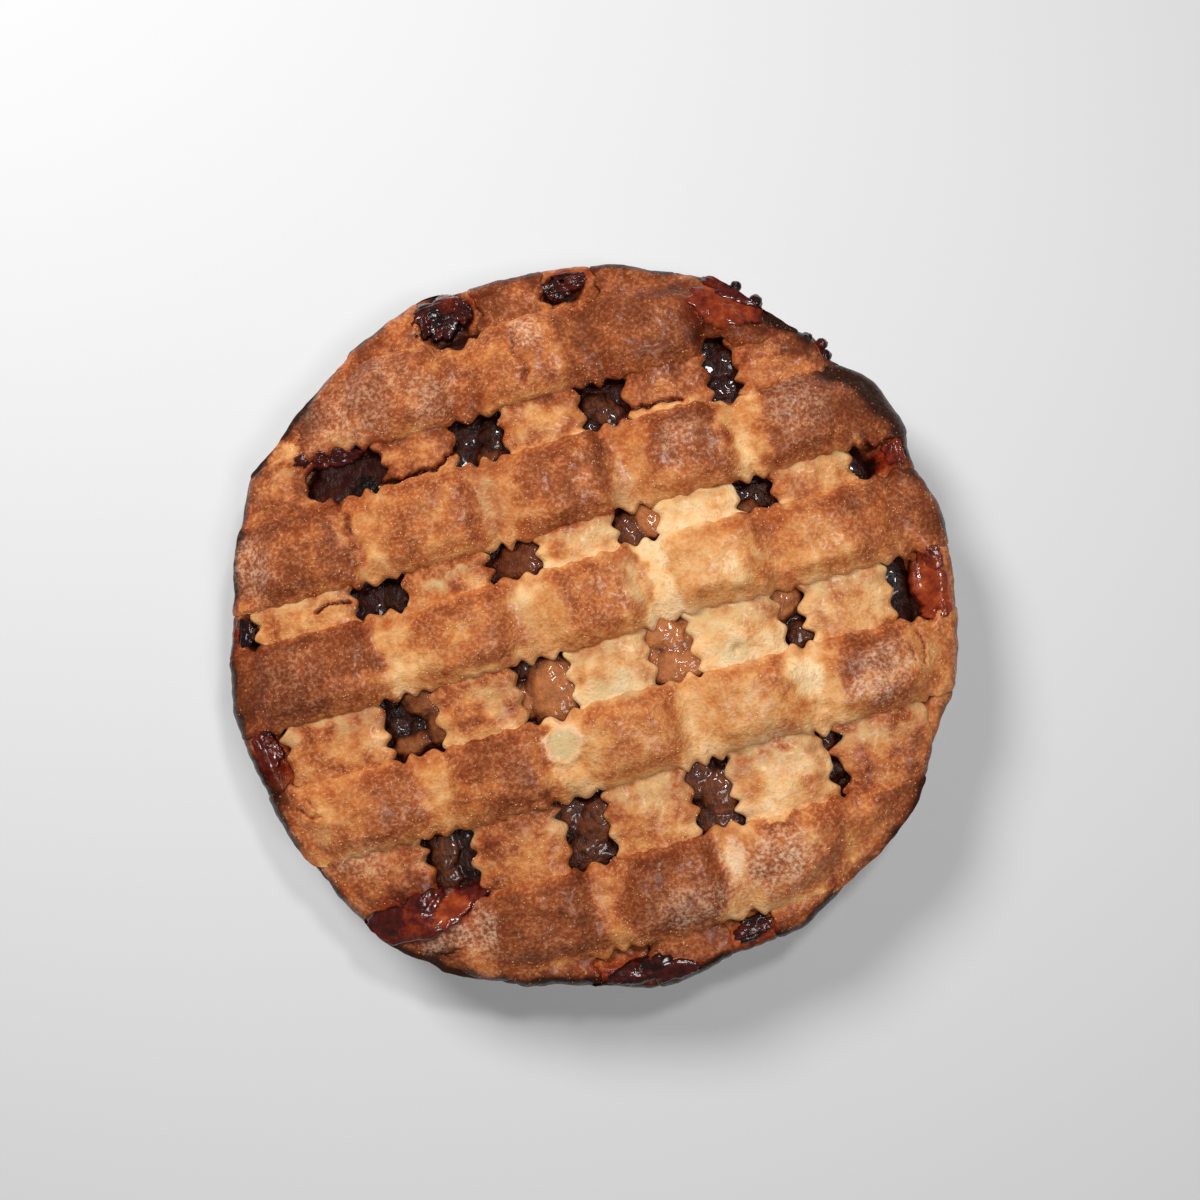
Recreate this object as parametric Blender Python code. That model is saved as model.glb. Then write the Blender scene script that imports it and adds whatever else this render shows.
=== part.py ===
"""Lattice apple pie in its foil tin.

Metres, +Z up. The origin is the centre of the tin's underside, on the surface it stands on.
+X runs along the upper strips of the lattice and +Y along the lower ones.
"""

import math

import bmesh
import bpy

# Gaps that keep touching pieces apart
GAP = 0.0003
CROSSING_GAP = 0.0009  # where an upper strip lies over a lower one
SETTLE = 0.0008  # the fruit and the lip sink this far away from the lattice as the pie cools

# Foil tin
TIN_BASE_R = 0.1215
TIN_TOP_R = 0.1450
TIN_DEPTH = 0.0365
TIN_WALL = 0.0005
TIN_CORNER = 0.0015  # the bend between base and wall
BEAD_WIDTH = 0.0030  # the rolled edge
BEAD_HEIGHT = 0.0022
BEAD_BULGE = 0.0010

# Pastry case
CASE_WALL = 0.0050
CASE_BASE = 0.0050
CASE_CORNER = 0.0016
CASE_CLEARANCE = 0.0011  # free space between the case's wall and the tin's
LIP_R = 0.1525  # the case's edge, which laps over the tin's rolled edge
LIP_EDGE_ROUND = 0.0025
LIP_WAVE_SHARE = 0.6  # how much of the lattice's outline the lip follows

# The surface that the lattice lies on: domed fruit in the middle, then the lip of the case
BED_EDGE_R = 0.1400
BED_EDGE_Z = 0.0435
DOME_RISE = 0.0055
DOME_RINGS = 4
DROOP_START_R = 0.1440
DROOP = 0.0012  # how far the lattice's ends hang below the lip's top
DROOP_RUN = 0.0105
LUMP_DEPTH = 0.0008  # hollows between the pieces of apple
LUMPS_ROUND = 7
LUMP_TWIST = 60.0  # radians for each metre outwards

# Lattice
PIE_R = 0.1545  # mean reach of the strips' trimmed ends
STRIP_THICK = 0.0038
STRIP_CROWN = 0.0007  # extra height along a strip's middle
TOOTH_PITCH = 0.0090  # one notch of the fluted cutter
TOOTH_DEPTH = 0.0022  # from a strip's mean edge out to a tooth's tip
SPAN_HOLD = 0.0025  # how far past the strip beneath an upper strip stays level
SPAN_SOFTNESS = 0.0065  # how quickly it then sinks

# Each strip: its middle line's offset from the centre, and its mean width
UNDER_STRIPS = [
    (-0.1155, 0.043),
    (-0.0545, 0.036),
    (0.0025, 0.035),
    (0.0570, 0.037),
    (0.1065, 0.037),
]
OVER_STRIPS = [
    (0.1160, 0.037),
    (0.0605, 0.038),
    (0.0090, 0.036),
    (-0.0505, 0.035),
    (-0.1160, 0.037),
]

# Each wave of the trimmed outline: times round, height, and phase in degrees
OUTLINE_WAVES = [(2, 0.0010, 205.0), (5, 0.0012, 40.0), (9, 0.0010, 130.0), (14, 0.0006, 15.0)]

# Round a strip's section: place from edge to edge, and whether it is on the top side
STRIP_SECTION = ((-1, False), (-1, True), (0, True), (1, True), (1, False), (0, False))

TURN_STEPS = 36
TRIM_STEPS = 90
TRIM_HEIGHT = 0.080
SHARP_ANGLE = math.radians(40)
MERGE_DISTANCE = 1e-5


def clear_scene():
    for old in list(bpy.data.objects):
        bpy.data.objects.remove(old)


def finish(name, colour, roughness, metallic=0.0):
    """A plain material of one colour."""
    made = bpy.data.materials.new(name)
    made.use_nodes = True
    shader = made.node_tree.nodes["Principled BSDF"]
    shader.inputs["Base Color"].default_value = (*colour, 1.0)
    shader.inputs["Roughness"].default_value = roughness
    shader.inputs["Metallic"].default_value = metallic
    return made


def add_object(name, builder):
    """A named object from a bmesh, its faces pointing out."""
    bmesh.ops.recalc_face_normals(builder, faces=builder.faces)
    if builder.calc_volume(signed=True) < 0:
        bmesh.ops.reverse_faces(builder, faces=builder.faces)
    mesh = bpy.data.meshes.new(name)
    builder.to_mesh(mesh)
    builder.free()
    mesh.shade_smooth()
    mesh.set_sharp_from_angle(angle=SHARP_ANGLE)
    made = bpy.data.objects.new(name, mesh)
    bpy.context.scene.collection.objects.link(made)
    return made


def outline_wave(angle):
    """How far the trimmed edge stands out from the mean circle in this direction."""
    return sum(
        height * math.cos(times * angle - math.radians(phase))
        for times, height, phase in OUTLINE_WAVES
    )


def bed_height(x, y):
    """Height of what the lattice lies on: the fruit's dome, then the lip, drooping at its edge."""
    r = math.hypot(x, y)
    dome = DOME_RISE * max(0.0, 1.0 - (r / BED_EDGE_R) ** 2)
    past = min(1.0, max(0.0, r - DROOP_START_R) / DROOP_RUN)
    return BED_EDGE_Z + dome - DROOP * past**2


def crown(across):
    """A strip is a little thicker along its middle; across runs from -1 to 1."""
    return STRIP_CROWN * (1.0 - across**2)


def lift_over_lower_strips(x):
    """How far the strips beneath hold an upper strip above the bed, at x along it."""
    lift = GAP
    for centre, width in UNDER_STRIPS:
        half = width / 2 + TOOTH_DEPTH
        away = max(0.0, abs(x - centre) - half - SPAN_HOLD)
        across = min(1.0, abs(x - centre) / half)
        height = GAP + STRIP_THICK + crown(across) + CROSSING_GAP
        lift = max(lift, height * math.exp(-((away / SPAN_SOFTNESS) ** 2)))
    return lift


def turned_solid(name, profile, shape_point=None):
    """A solid turned about Z from an (r, z) profile that starts and ends on the axis."""
    builder = bmesh.new()
    points = [builder.verts.new((r, 0.0, z)) for r, z in profile]
    edges = [builder.edges.new(pair) for pair in zip(points, points[1:])]
    bmesh.ops.spin(
        builder,
        geom=points + edges,
        cent=(0, 0, 0),
        axis=(0, 0, 1),
        angle=math.tau,
        steps=TURN_STEPS,
        use_merge=True,
    )
    bmesh.ops.remove_doubles(builder, verts=builder.verts, dist=MERGE_DISTANCE)
    if shape_point:
        for point in builder.verts:
            shape_point(point.co)
    return add_object(name, builder)


def make_tin():
    """The pressed foil tin: a flat base, a sloping wall and a rolled edge."""
    bead_low = TIN_DEPTH - BEAD_HEIGHT
    wall_top_r = TIN_TOP_R - TIN_WALL
    profile = [
        (0.0, 0.0),
        (TIN_BASE_R - TIN_CORNER, 0.0),
        (TIN_BASE_R, TIN_CORNER),
        (wall_top_r, bead_low),
        (TIN_TOP_R + BEAD_WIDTH, bead_low),
        (TIN_TOP_R + BEAD_WIDTH + BEAD_BULGE, TIN_DEPTH - BEAD_HEIGHT / 2),
        (TIN_TOP_R + BEAD_WIDTH, TIN_DEPTH),
        (TIN_TOP_R, TIN_DEPTH),
        (wall_top_r - TIN_WALL, bead_low + TIN_WALL),
        (TIN_BASE_R - TIN_WALL, TIN_CORNER + TIN_WALL / 2),
        (TIN_BASE_R - TIN_CORNER - TIN_WALL / 2, TIN_WALL),
        (0.0, TIN_WALL),
    ]
    return turned_solid("foil_tin", profile)


def case_wall_radius(z):
    """Radius of the case's outer wall at this height, just inside the tin."""
    slope = (TIN_TOP_R - TIN_BASE_R) / TIN_DEPTH
    return TIN_BASE_R + slope * z - TIN_WALL - CASE_CLEARANCE


def make_case():
    """The bottom crust: base and wall inside the tin, and a lip lapped over its rolled edge."""
    floor = TIN_WALL + GAP
    neck = TIN_DEPTH + 2 * GAP
    inner_base_r = case_wall_radius(CASE_BASE) - CASE_WALL
    lip_top_r = LIP_R - LIP_EDGE_ROUND / 2

    def lip_top(r):
        return bed_height(r, 0.0) - SETTLE

    profile = [
        (0.0, floor),
        (case_wall_radius(0.0) - CASE_CORNER, floor),
        (case_wall_radius(CASE_CORNER), floor + CASE_CORNER),
        (case_wall_radius(TIN_DEPTH) - 2 * GAP, neck),
        (LIP_R - LIP_EDGE_ROUND, neck),
        (LIP_R, neck + LIP_EDGE_ROUND / 2),
        (lip_top_r, lip_top(lip_top_r)),
        ((lip_top_r + DROOP_START_R) / 2, lip_top((lip_top_r + DROOP_START_R) / 2)),
        (BED_EDGE_R + GAP, lip_top(BED_EDGE_R)),
        (inner_base_r + CASE_CORNER + GAP, floor + CASE_BASE + CASE_CORNER),
        (inner_base_r, floor + CASE_BASE),
        (0.0, floor + CASE_BASE),
    ]

    def waver_lip(co):
        r = math.hypot(co.x, co.y)
        if r > DROOP_START_R and co.z > TIN_DEPTH:
            stretch = 1.0 + LIP_WAVE_SHARE * outline_wave(math.atan2(co.y, co.x)) / r
            co.x *= stretch
            co.y *= stretch

    return turned_solid("pastry_case", profile, waver_lip)


def make_filling():
    """The baked apple filling, solid down to the case's floor, with a domed and lumpy top."""
    floor = TIN_WALL + GAP + CASE_BASE + GAP
    base_r = case_wall_radius(CASE_BASE) - CASE_WALL - 2 * GAP
    side_foot = floor + CASE_CORNER
    profile = [(0.0, floor), (base_r, floor), (base_r + CASE_CORNER, side_foot)]
    ring_radii = [BED_EDGE_R * (1.0 - ring / DOME_RINGS) for ring in range(DOME_RINGS + 1)]
    profile += [(r, bed_height(r, 0.0) - SETTLE) for r in ring_radii]

    def add_lumps(co):
        r = math.hypot(co.x, co.y)
        if co.z > side_foot + GAP and r < BED_EDGE_R - GAP:
            turn = LUMPS_ROUND * math.atan2(co.y, co.x) + LUMP_TWIST * r
            co.z -= LUMP_DEPTH * (1.0 + math.cos(turn))

    return turned_solid("apple_filling", profile, add_lumps)


def make_trimmer():
    """A tall plug of the pie's round, slightly wavy outline, which trims the strips' ends."""
    builder = bmesh.new()
    outline = []
    for step in range(TRIM_STEPS):
        angle = math.tau * step / TRIM_STEPS
        reach = PIE_R + outline_wave(angle)
        outline.append(builder.verts.new((reach * math.cos(angle), reach * math.sin(angle), 0.0)))
    disc = builder.faces.new(outline)
    raised = bmesh.ops.extrude_face_region(builder, geom=[disc])
    upper = [item for item in raised["geom"] if isinstance(item, bmesh.types.BMVert)]
    bmesh.ops.translate(builder, verts=upper, vec=(0, 0, TRIM_HEIGHT))
    trimmer = add_object("trimmer", builder)
    trimmer.hide_render = True
    trimmer.display_type = "WIRE"
    return trimmer


def make_strip(name, centre, width, is_upper, trimmer):
    """A strip of pastry with fluted edges, draped over what is beneath and trimmed to the pie.

    Upper strips run along X and lie over the lower ones, which run along Y on the bed.
    """
    half = width / 2
    nearest = max(0.0, abs(centre) - half)
    reach = math.sqrt(PIE_R**2 - nearest**2) + TOOTH_PITCH
    stations = 2 * round(reach * 2 / TOOTH_PITCH)
    builder = bmesh.new()
    rings = []
    for station in range(stations + 1):
        along = reach * (2 * station / stations - 1)
        tooth = TOOTH_DEPTH if station % 2 else -TOOTH_DEPTH
        ring = []
        for across, on_top in STRIP_SECTION:
            side = centre + across * (half + tooth)
            x, y = (along, side) if is_upper else (side, along)
            z = bed_height(x, y)
            z += lift_over_lower_strips(x) if is_upper else GAP
            if on_top:
                z += STRIP_THICK + crown(across)
            ring.append(builder.verts.new((x, y, z)))
        rings.append(ring)
    for here, there in zip(rings, rings[1:]):
        for i in range(len(here)):
            j = (i + 1) % len(here)
            builder.faces.new((here[i], there[i], there[j], here[j]))
    builder.faces.new(rings[0])
    builder.faces.new(reversed(rings[-1]))
    strip = add_object(name, builder)
    trim = strip.modifiers.new("trim", "BOOLEAN")
    trim.operation = "INTERSECT"
    trim.object = trimmer
    return strip


def build():
    clear_scene()
    foil = finish("foil", (0.72, 0.73, 0.74), 0.32, 1.0)
    crust = finish("crust", (0.47, 0.20, 0.07), 0.62)
    fruit = finish("fruit", (0.16, 0.05, 0.015), 0.22)
    make_tin().data.materials.append(foil)
    make_case().data.materials.append(crust)
    make_filling().data.materials.append(fruit)
    trimmer = make_trimmer()
    for number, (centre, width) in enumerate(UNDER_STRIPS, 1):
        strip = make_strip(f"under_strip_{number}", centre, width, False, trimmer)
        strip.data.materials.append(crust)
    for number, (centre, width) in enumerate(OVER_STRIPS, 1):
        strip = make_strip(f"over_strip_{number}", centre, width, True, trimmer)
        strip.data.materials.append(crust)


build()
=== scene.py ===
# %% [markdown]
# # A lattice apple pie
#
# This lesson dresses a plain solid model of a baked pie. The solid model, called the frame, says how
# large the pie is and where its tin, its bottom crust, its fruit and its ten strips of pastry lie.
# Each step below makes one of these as a detailed mesh that takes the plain solid's place.
#
# A baked crust is mostly unevenness: of height, of browning and of grain. So the lesson works with
# arrays of numbers, one value for each point of a mesh, and adds up simple rules for them.

# %% Load the frame
import functools
import itertools
import math

import bpy
import numpy as np
from mathutils import Matrix, Vector


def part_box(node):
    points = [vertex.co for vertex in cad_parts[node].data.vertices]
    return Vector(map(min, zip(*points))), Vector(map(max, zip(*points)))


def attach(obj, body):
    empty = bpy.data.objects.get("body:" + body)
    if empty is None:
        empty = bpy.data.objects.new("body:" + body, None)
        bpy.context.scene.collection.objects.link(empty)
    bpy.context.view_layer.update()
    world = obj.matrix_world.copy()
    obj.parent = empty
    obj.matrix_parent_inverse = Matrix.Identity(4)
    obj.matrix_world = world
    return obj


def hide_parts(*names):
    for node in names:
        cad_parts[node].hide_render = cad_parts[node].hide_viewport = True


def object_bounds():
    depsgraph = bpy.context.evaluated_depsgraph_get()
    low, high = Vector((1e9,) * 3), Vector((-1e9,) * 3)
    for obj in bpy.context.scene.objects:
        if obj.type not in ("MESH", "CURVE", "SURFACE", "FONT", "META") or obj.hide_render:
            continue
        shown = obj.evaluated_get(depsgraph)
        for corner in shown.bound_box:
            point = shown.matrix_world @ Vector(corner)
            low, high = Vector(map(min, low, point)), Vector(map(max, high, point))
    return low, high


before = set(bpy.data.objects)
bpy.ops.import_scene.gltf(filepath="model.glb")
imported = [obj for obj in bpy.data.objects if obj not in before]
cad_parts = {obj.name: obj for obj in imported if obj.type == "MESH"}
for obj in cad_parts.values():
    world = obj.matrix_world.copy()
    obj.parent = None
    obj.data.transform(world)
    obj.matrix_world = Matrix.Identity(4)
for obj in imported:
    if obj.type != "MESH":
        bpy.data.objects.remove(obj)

cad_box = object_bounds()
MM = 0.001
print("frame nodes:", len(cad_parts))

# %% [markdown]
# ## Hills and hollows
#
# Dough, fruit and foil are never flat. Blender has noise functions, but they take one point at a
# time. A pie has half a million points, so this helper works out smooth noise for a whole array at
# once: each corner of a square grid gets a random slope, and the slopes are blended in between.

# %% Smooth noise for arrays
@functools.cache
def slopes(seed):
    """Random slopes along x and y, of length 1, for a grid of 64 by 64 corners."""
    angle = np.random.default_rng(seed).uniform(0, math.tau, (64, 64))
    return np.cos(angle), np.sin(angle)


def hills(x, y, across, seed):
    """Smooth random hills and hollows, from about -1 to 1, each about `across` wide."""
    slope_x, slope_y = slopes(seed)
    u, v = x / across + 31.7, y / across + 17.3
    i, j = np.floor(u).astype(int), np.floor(v).astype(int)
    a, b = u - i, v - j

    def corner(di, dj):
        place = (i + di) % 64, (j + dj) % 64
        return slope_x[place] * (a - di) + slope_y[place] * (b - dj)

    blend_a = a**3 * (a * (6 * a - 15) + 10)
    blend_b = b**3 * (b * (6 * b - 15) + 10)
    low = corner(0, 0) + blend_a * (corner(1, 0) - corner(0, 0))
    high = corner(0, 1) + blend_a * (corner(1, 1) - corner(0, 1))
    return 1.5 * (low + blend_b * (high - low))


sample = hills(np.linspace(0, 1, 500), np.zeros(500), 0.1, 1)
print("the hills run from", round(sample.min(), 2), "to", round(sample.max(), 2))

# %% [markdown]
# ## Hills upon hills
#
# Real unevenness has several sizes at once: a hand-sized wave, a finger-sized dent, a grain. One
# helper adds such layers up. Another moves places about by layered hills before they are looked up,
# and so a plain round spot or a straight line comes out as uneven as a real one.

# %% Layers of hills
def layered_hills(x, y, seed, *layers):
    """The sum of hills in layers, each with a height and a width."""
    return sum(size * hills(x, y, across, seed + i) for i, (size, across) in enumerate(layers))


def strayed(x, y, seed, *layers):
    """The same places, moved about. Each layer says how far along x and y, and how wide, in mm."""
    x_layers = [(far * MM, across * MM) for far, _, across in layers]
    y_layers = [(far * MM, across * MM) for _, far, across in layers]
    moved_y = y + layered_hills(x, y, seed + len(layers), *y_layers)
    return x + layered_hills(x, y, seed, *x_layers), moved_y


moved_x, _ = strayed(np.linspace(0, 0.3, 500), np.zeros(500), 1, (3.0, 3.0, 10))
print("places move by up to", round(np.abs(moved_x - np.linspace(0, 0.3, 500)).max() / MM, 1), "mm")

# %% [markdown]
# ## Soft edges
#
# Most rules below start or stop somewhere, and nothing on a pie stops at a sharp line. Three small
# curves do all of it: a soft step, a bell that fades on both sides, and the profile of a rounded edge.

# %% Steps, bells and rounded edges
def smooth_step(low, high, value):
    """0 below low, 1 above high, and a soft rise in between."""
    share = np.clip((value - low) / (high - low), 0, 1)
    return share * share * (3 - 2 * share)


def near(distance, width):
    """1 at no distance, falling smoothly to nothing at about twice the width."""
    return np.exp(-((distance / width) ** 2))


def round_off(distance, radius):
    """How far a rounded edge lies below the face, at this distance from its rim."""
    inside = np.clip(radius - distance, 0, radius)
    return radius - np.sqrt(np.clip(radius**2 - inside**2, 0, None))


print("half way up a soft step:", float(smooth_step(0, 1, 0.5)))

# %% [markdown]
# ## From arrays to a mesh
#
# Every piece below ends as points, faces and a few numbers for each point, such as how brown it is.
# Blender keeps such numbers as attributes, which a material can read. Handing them over in one go
# is far quicker than adding points one by one.

# %% A mesh from arrays
def put_in_scene(name, data):
    """An object that shows a mesh, a lamp or a camera."""
    thing = bpy.data.objects.new(name, data)
    bpy.context.scene.collection.objects.link(thing)
    return thing


def add_mesh(name, points, faces, material, slot, replaced=(), **values):
    """A piece that rides with the pie, with one attribute for each of the named values."""
    mesh = bpy.data.meshes.new(name)
    mesh.from_pydata(np.asarray(points).tolist(), [], [list(face) for face in faces])
    for key, numbers in values.items():
        layer = mesh.attributes.new(key, "FLOAT", "POINT")
        layer.data.foreach_set("value", np.asarray(numbers, np.float32))
    mesh.materials.append(material)
    mesh.shade_smooth()
    piece = put_in_scene(name, mesh)
    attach(piece, "root")
    for node in replaced:
        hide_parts(node)
    print(f"{name}: {len(mesh.vertices)} points, {len(mesh.polygons)} faces")


def quad_rows(rows, columns, closed_columns=False):
    """Faces between neighbours in a grid of points that is stored row by row."""
    i = np.arange(rows - 1)[:, None]
    j = np.arange(columns if closed_columns else columns - 1)[None, :]
    here, across = i * columns + j, i * columns + (j + 1) % columns
    down, down_across = here + columns, across + columns
    return np.stack([here, across, down_across, down], axis=-1).reshape(-1, 4)


print("a grid of 3 by 4 points has", len(quad_rows(3, 4)), "faces")

# %% [markdown]
# ## The pie's outline
#
# The strips' ends were pressed on to the tin's edge and trimmed by hand. The outline is a circle
# with a few places where it bulges or where a piece broke off, and a fine ragged edge. A function of
# the direction gives its radius, so that every strip is trimmed by the same line.

# %% Outline
pie_radius = (cad_box[1].x - cad_box[0].x + cad_box[1].y - cad_box[0].y) / 4
# Direction in degrees from +X, how wide the place is in degrees, and how far it stands out in mm
OUTLINE_PLACES = [
    (1, 6, 2.0), (10, 3.5, -2.0), (18, 3.5, 5.5), (25, 4, 6.5), (33, 3, -1.0), (37, 2, 3.0),
    (44, 5, -1.5), (57, 6, 4.5), (72, 8, 2.0), (102, 5, 5.0), (112, 7, 4.0), (124, 6, 0.5),
    (142, 4, 5.0), (149, 4, 1.5), (161, 6, -2.5), (180, 6, 1.5), (221, 8, 3.5), (233, 3, 1.5),
    (253, 9, -5.0), (277, 8, -5.0), (300, 9, -3.0), (326, 6, -3.0), (334, 2.0, 1.5),
]


def degrees_between(angle, place):
    """How far a direction in radians lies from a place in degrees, the short way round."""
    return (np.degrees(angle) - place + 180) % 360 - 180


def trimmed_radius(angle):
    radius = np.full(np.shape(angle), pie_radius + 0.5 * MM)
    for place, reach, amount in OUTLINE_PLACES:
        radius += amount * MM * near(degrees_between(angle, place), reach)
    x, y = pie_radius * np.cos(angle), pie_radius * np.sin(angle)
    return radius + layered_hills(x, y, 11, (0.8 * MM, 11 * MM), (0.4 * MM, 4 * MM))


# Worked out once for 3,600 directions, and read off between them
outline_angles = np.linspace(-math.pi, math.pi, 3601)
outline_radii = trimmed_radius(outline_angles)


def outline(angle):
    """Radius of the trimmed edge in a direction, in radians."""
    return np.interp((angle + math.pi) % math.tau - math.pi, outline_angles, outline_radii)


def to_outline(x, y):
    """How far a point lies inside the trimmed edge."""
    return outline(np.arctan2(y, x)) - np.hypot(x, y)


print("outline radius about", round(pie_radius / MM, 1), "mm")

# %% [markdown]
# ## What the lattice lies on
#
# The fruit domes in the middle and the lip of the bottom crust runs round it. Near the edge the
# pastry bends down over the tin's rolled edge. The heights come from the frame's boxes. Round the
# edge the ends of the strips were pressed into the lip, so all of them share one rounded rim there.

# %% The bed and the rim
lip_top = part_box("pastry_case")[1][2]
fruit_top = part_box("apple_filling")[1][2]
FRUIT_R = 140 * MM
BEND_START = 143 * MM
BEND = 0.022 / MM  # how sharply the pastry then bends down
RIM_RISE = 4.5 * MM  # the pressed rim's top above the bed
RIM_ROUND = 4.8 * MM  # radius of its rounded outer edge


def bed(x, y):
    """Height of the surface that the lower strips lie on."""
    r = np.hypot(x, y)
    dome = (fruit_top - lip_top) * np.clip(1 - (r / FRUIT_R) ** 2, 0, 1)
    past = np.clip(r - BEND_START, 0, None)
    sway = 1.1 * MM * hills(x, y, 38 * MM, 21)
    return lip_top + dome + sway * smooth_step(150 * MM, 120 * MM, r) - BEND * past**2


def rim_top(x, y):
    """Height of the pressed rim, without the rounding at its edge."""
    return bed(x, y) + RIM_RISE + layered_hills(x, y, 31, (0.9 * MM, 19 * MM), (0.4 * MM, 7 * MM))


print("lip at", round(lip_top / MM, 1), "mm, top of the fruit at", round(fruit_top / MM, 1), "mm")

# %% [markdown]
# ## The strips' place and cut
#
# A strip's box in the frame gives its middle line and its width. The edges were cut with a fluted
# wheel: round lobes with narrow notches between them, at an even pitch, which baking made uneven.
# Where an upper strip lies on a lower one the two baked together, and round the rim all were
# pressed flat, so the lobes are weaker there. Lower strips run along Y, upper strips along X.

# %% Strips
TOOTH_PITCH = 8.6 * MM
TOOTH_DEPTH = 1.45 * MM
FRAME_TOOTH = 2.2 * MM  # the plain solids' teeth stand out this far from their mean width
LINE_STEP = 0.25 * MM  # curves along a strip are worked out this closely
# Strip, side, place along it, spread and how far the edge stands out there, in mm
EDGE_PLACES = [
    ("under_strip_4", 1, -80, 4, 6.2), ("under_strip_5", -1, -80, 4, 6.2),
    ("under_strip_4", 1, -97, 5, 5.0), ("under_strip_5", -1, -97, 5, 5.0),
    ("under_strip_4", 1, -88, 4, 2.2), ("under_strip_5", -1, -88, 4, 2.2),
    ("under_strip_4", 1, -70, 4, 2.6), ("under_strip_5", -1, -70, 4, 2.6),
    ("over_strip_4", -1, 81, 8, 2.0), ("over_strip_4", -1, 29, 9, 1.8), ("over_strip_5", 1, 29, 9, 1.8),
    ("under_strip_3", 1, -83, 10, 2.2), ("under_strip_4", -1, -83, 10, 1.8),
    ("under_strip_2", 1, -83, 10, 2.0), ("under_strip_3", -1, -83, 10, 1.6),
    ("under_strip_1", 1, -83, 10, 1.8), ("under_strip_2", -1, -83, 10, 1.6),
    ("over_strip_2", -1, -83, 9, 1.4), ("over_strip_3", 1, -83, 9, 1.4),
    ("under_strip_5", 1, 34, 8, -1.5), ("under_strip_4", 1, 34, 8, -2.5),
    ("under_strip_1", 1, 88, 8, -8.0), ("under_strip_2", -1, 88, 7, -4.0),
    ("over_strip_1", -1, 82, 7, -9.0), ("over_strip_2", 1, 82, 8, -4.0),
    ("over_strip_1", 1, -24, 9, -4.5), ("under_strip_3", -1, 143, 8, -4.0),
    ("under_strip_2", 1, 142, 8, -2.0), ("under_strip_3", 1, 142, 6, -4.0),
    ("under_strip_4", -1, 142, 6, -2.0), ("over_strip_4", 1, 134, 7, -3.0),
    ("over_strip_1", -1, -58, 10, 1.5), ("over_strip_4", 1, -24, 8, -2.0),
    ("over_strip_5", 1, -84, 9, -4.0), ("under_strip_4", 1, -21, 9, 1.8),
    ("under_strip_5", -1, -21, 9, 1.8), ("over_strip_1", -1, -86, 10, -2.0),
]
print(len(EDGE_PLACES), "places where a cut edge leaves its line")

# %% [markdown]
# ## One strip as an object of its own
#
# Every later step asks a strip the same things: where its middle line runs, how wide it is here, and
# how far a point lies from its cut edge. A class keeps the answers with the strip. Both directions
# share one class, which works with a place along the strip and a place across it.

# %% The Strip class
class Strip:
    """One strip of pastry: where it lies, which way it runs and how its edges are cut."""

    def __init__(self, node, is_upper, seed):
        low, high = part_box(node)
        side = 1 if is_upper else 0
        self.node, self.is_upper, self.seed = node, is_upper, seed
        self.centre = (low[side] + high[side]) / 2
        self.half = (high[side] - low[side]) / 2 - FRAME_TOOTH
        # The middle line and both edges are worked out once, and read off after that
        self.line = np.arange(-704, 705) * LINE_STEP
        self.middle_line = self.centre + self.slow(self.line, 1.1 * MM, 60 * MM, 300)
        self.width_lines = {sign: self.cut_width(self.line, sign) for sign in (-1, 1)}

    def xy(self, along, side):
        return (along, side) if self.is_upper else (side, along)

    def along_side(self, x, y):
        return (x, y) if self.is_upper else (y, x)

    def slow(self, along, size, across, number):
        """Slow unevenness along the strip, a different one for each number."""
        return size * hills(along, 9 * MM + 0 * along, across, self.seed * 10 + number)

    def tooth(self, along, sign):
        number = 1 if sign > 0 else 2
        drift = self.slow(along, 2.8 * MM, 33 * MM, number)
        drift = drift + self.slow(along, 1.6 * MM, 9 * MM, number + 2)
        turn = (along + drift) / TOOTH_PITCH + 3.7 * self.seed * number
        lobe = 0.75 * np.cos(math.tau * turn) + 0.25 * (2 * np.abs(np.cos(math.pi * turn)) - 1)
        size = 1 + self.slow(along, 0.8, 12 * MM, number + 4)
        if self.is_upper:
            size = size * (1 - 0.75 * on_lower_strip(along))
        x, y = self.xy(along, self.centre + sign * self.half)
        return TOOTH_DEPTH * size * lobe * smooth_step(2 * MM, 13 * MM, to_outline(x, y))

    def cut_width(self, along, sign):
        """From the middle line to one cut edge."""
        width = self.half + self.slow(along, 1.0 * MM, 40 * MM, 20 + sign) + self.tooth(along, sign)
        width = width + self.slow(along, 0.8 * MM, 6 * MM, 30 + sign)
        for node, side, place, reach, amount in EDGE_PLACES:
            if (node, side) == (self.node, sign):
                width = width + amount * MM * near(along - place * MM, reach * MM)
        return width

    def middle(self, along):
        return np.interp(along, self.line, self.middle_line)

    def half_width(self, along, sign):
        return np.interp(along, self.line, self.width_lines[sign])

    def edge_side(self, along, t):
        """Where the line at t across the strip, from -1 to 1, runs."""
        width = np.where(t > 0, self.half_width(along, 1), self.half_width(along, -1))
        return self.middle(along) + t * width

    def across(self, x, y):
        """Place across the strip, from -1 to 1, and the distance to its cut edge."""
        along, side = self.along_side(x, y)
        off = side - self.middle(along)
        width = np.where(off > 0, self.half_width(along, 1), self.half_width(along, -1))
        return off / width, width - np.abs(off)


def on_lower_strip(x):
    """1 where an upper strip lies on a lower one, 0 in the gaps."""
    inside = [strip.half - np.abs(x - strip.centre) for strip in under]
    return smooth_step(-2.5 * MM, 3 * MM, np.max(inside, axis=0))


print("a tooth every", TOOTH_PITCH / MM, "mm")

# %% [markdown]
# ## Ten strips and the holes between them
#
# The five lower strips come first, because an upper strip's edge asks where it lies on a lower one.
# The gaps between neighbours cross at the holes of the lattice, so their middle lines are kept too.

# %% Ten strips
under = [Strip(f"under_strip_{n}", False, n) for n in range(1, 6)]
over = [Strip(f"over_strip_{n}", True, n + 5) for n in range(1, 6)]


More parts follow.
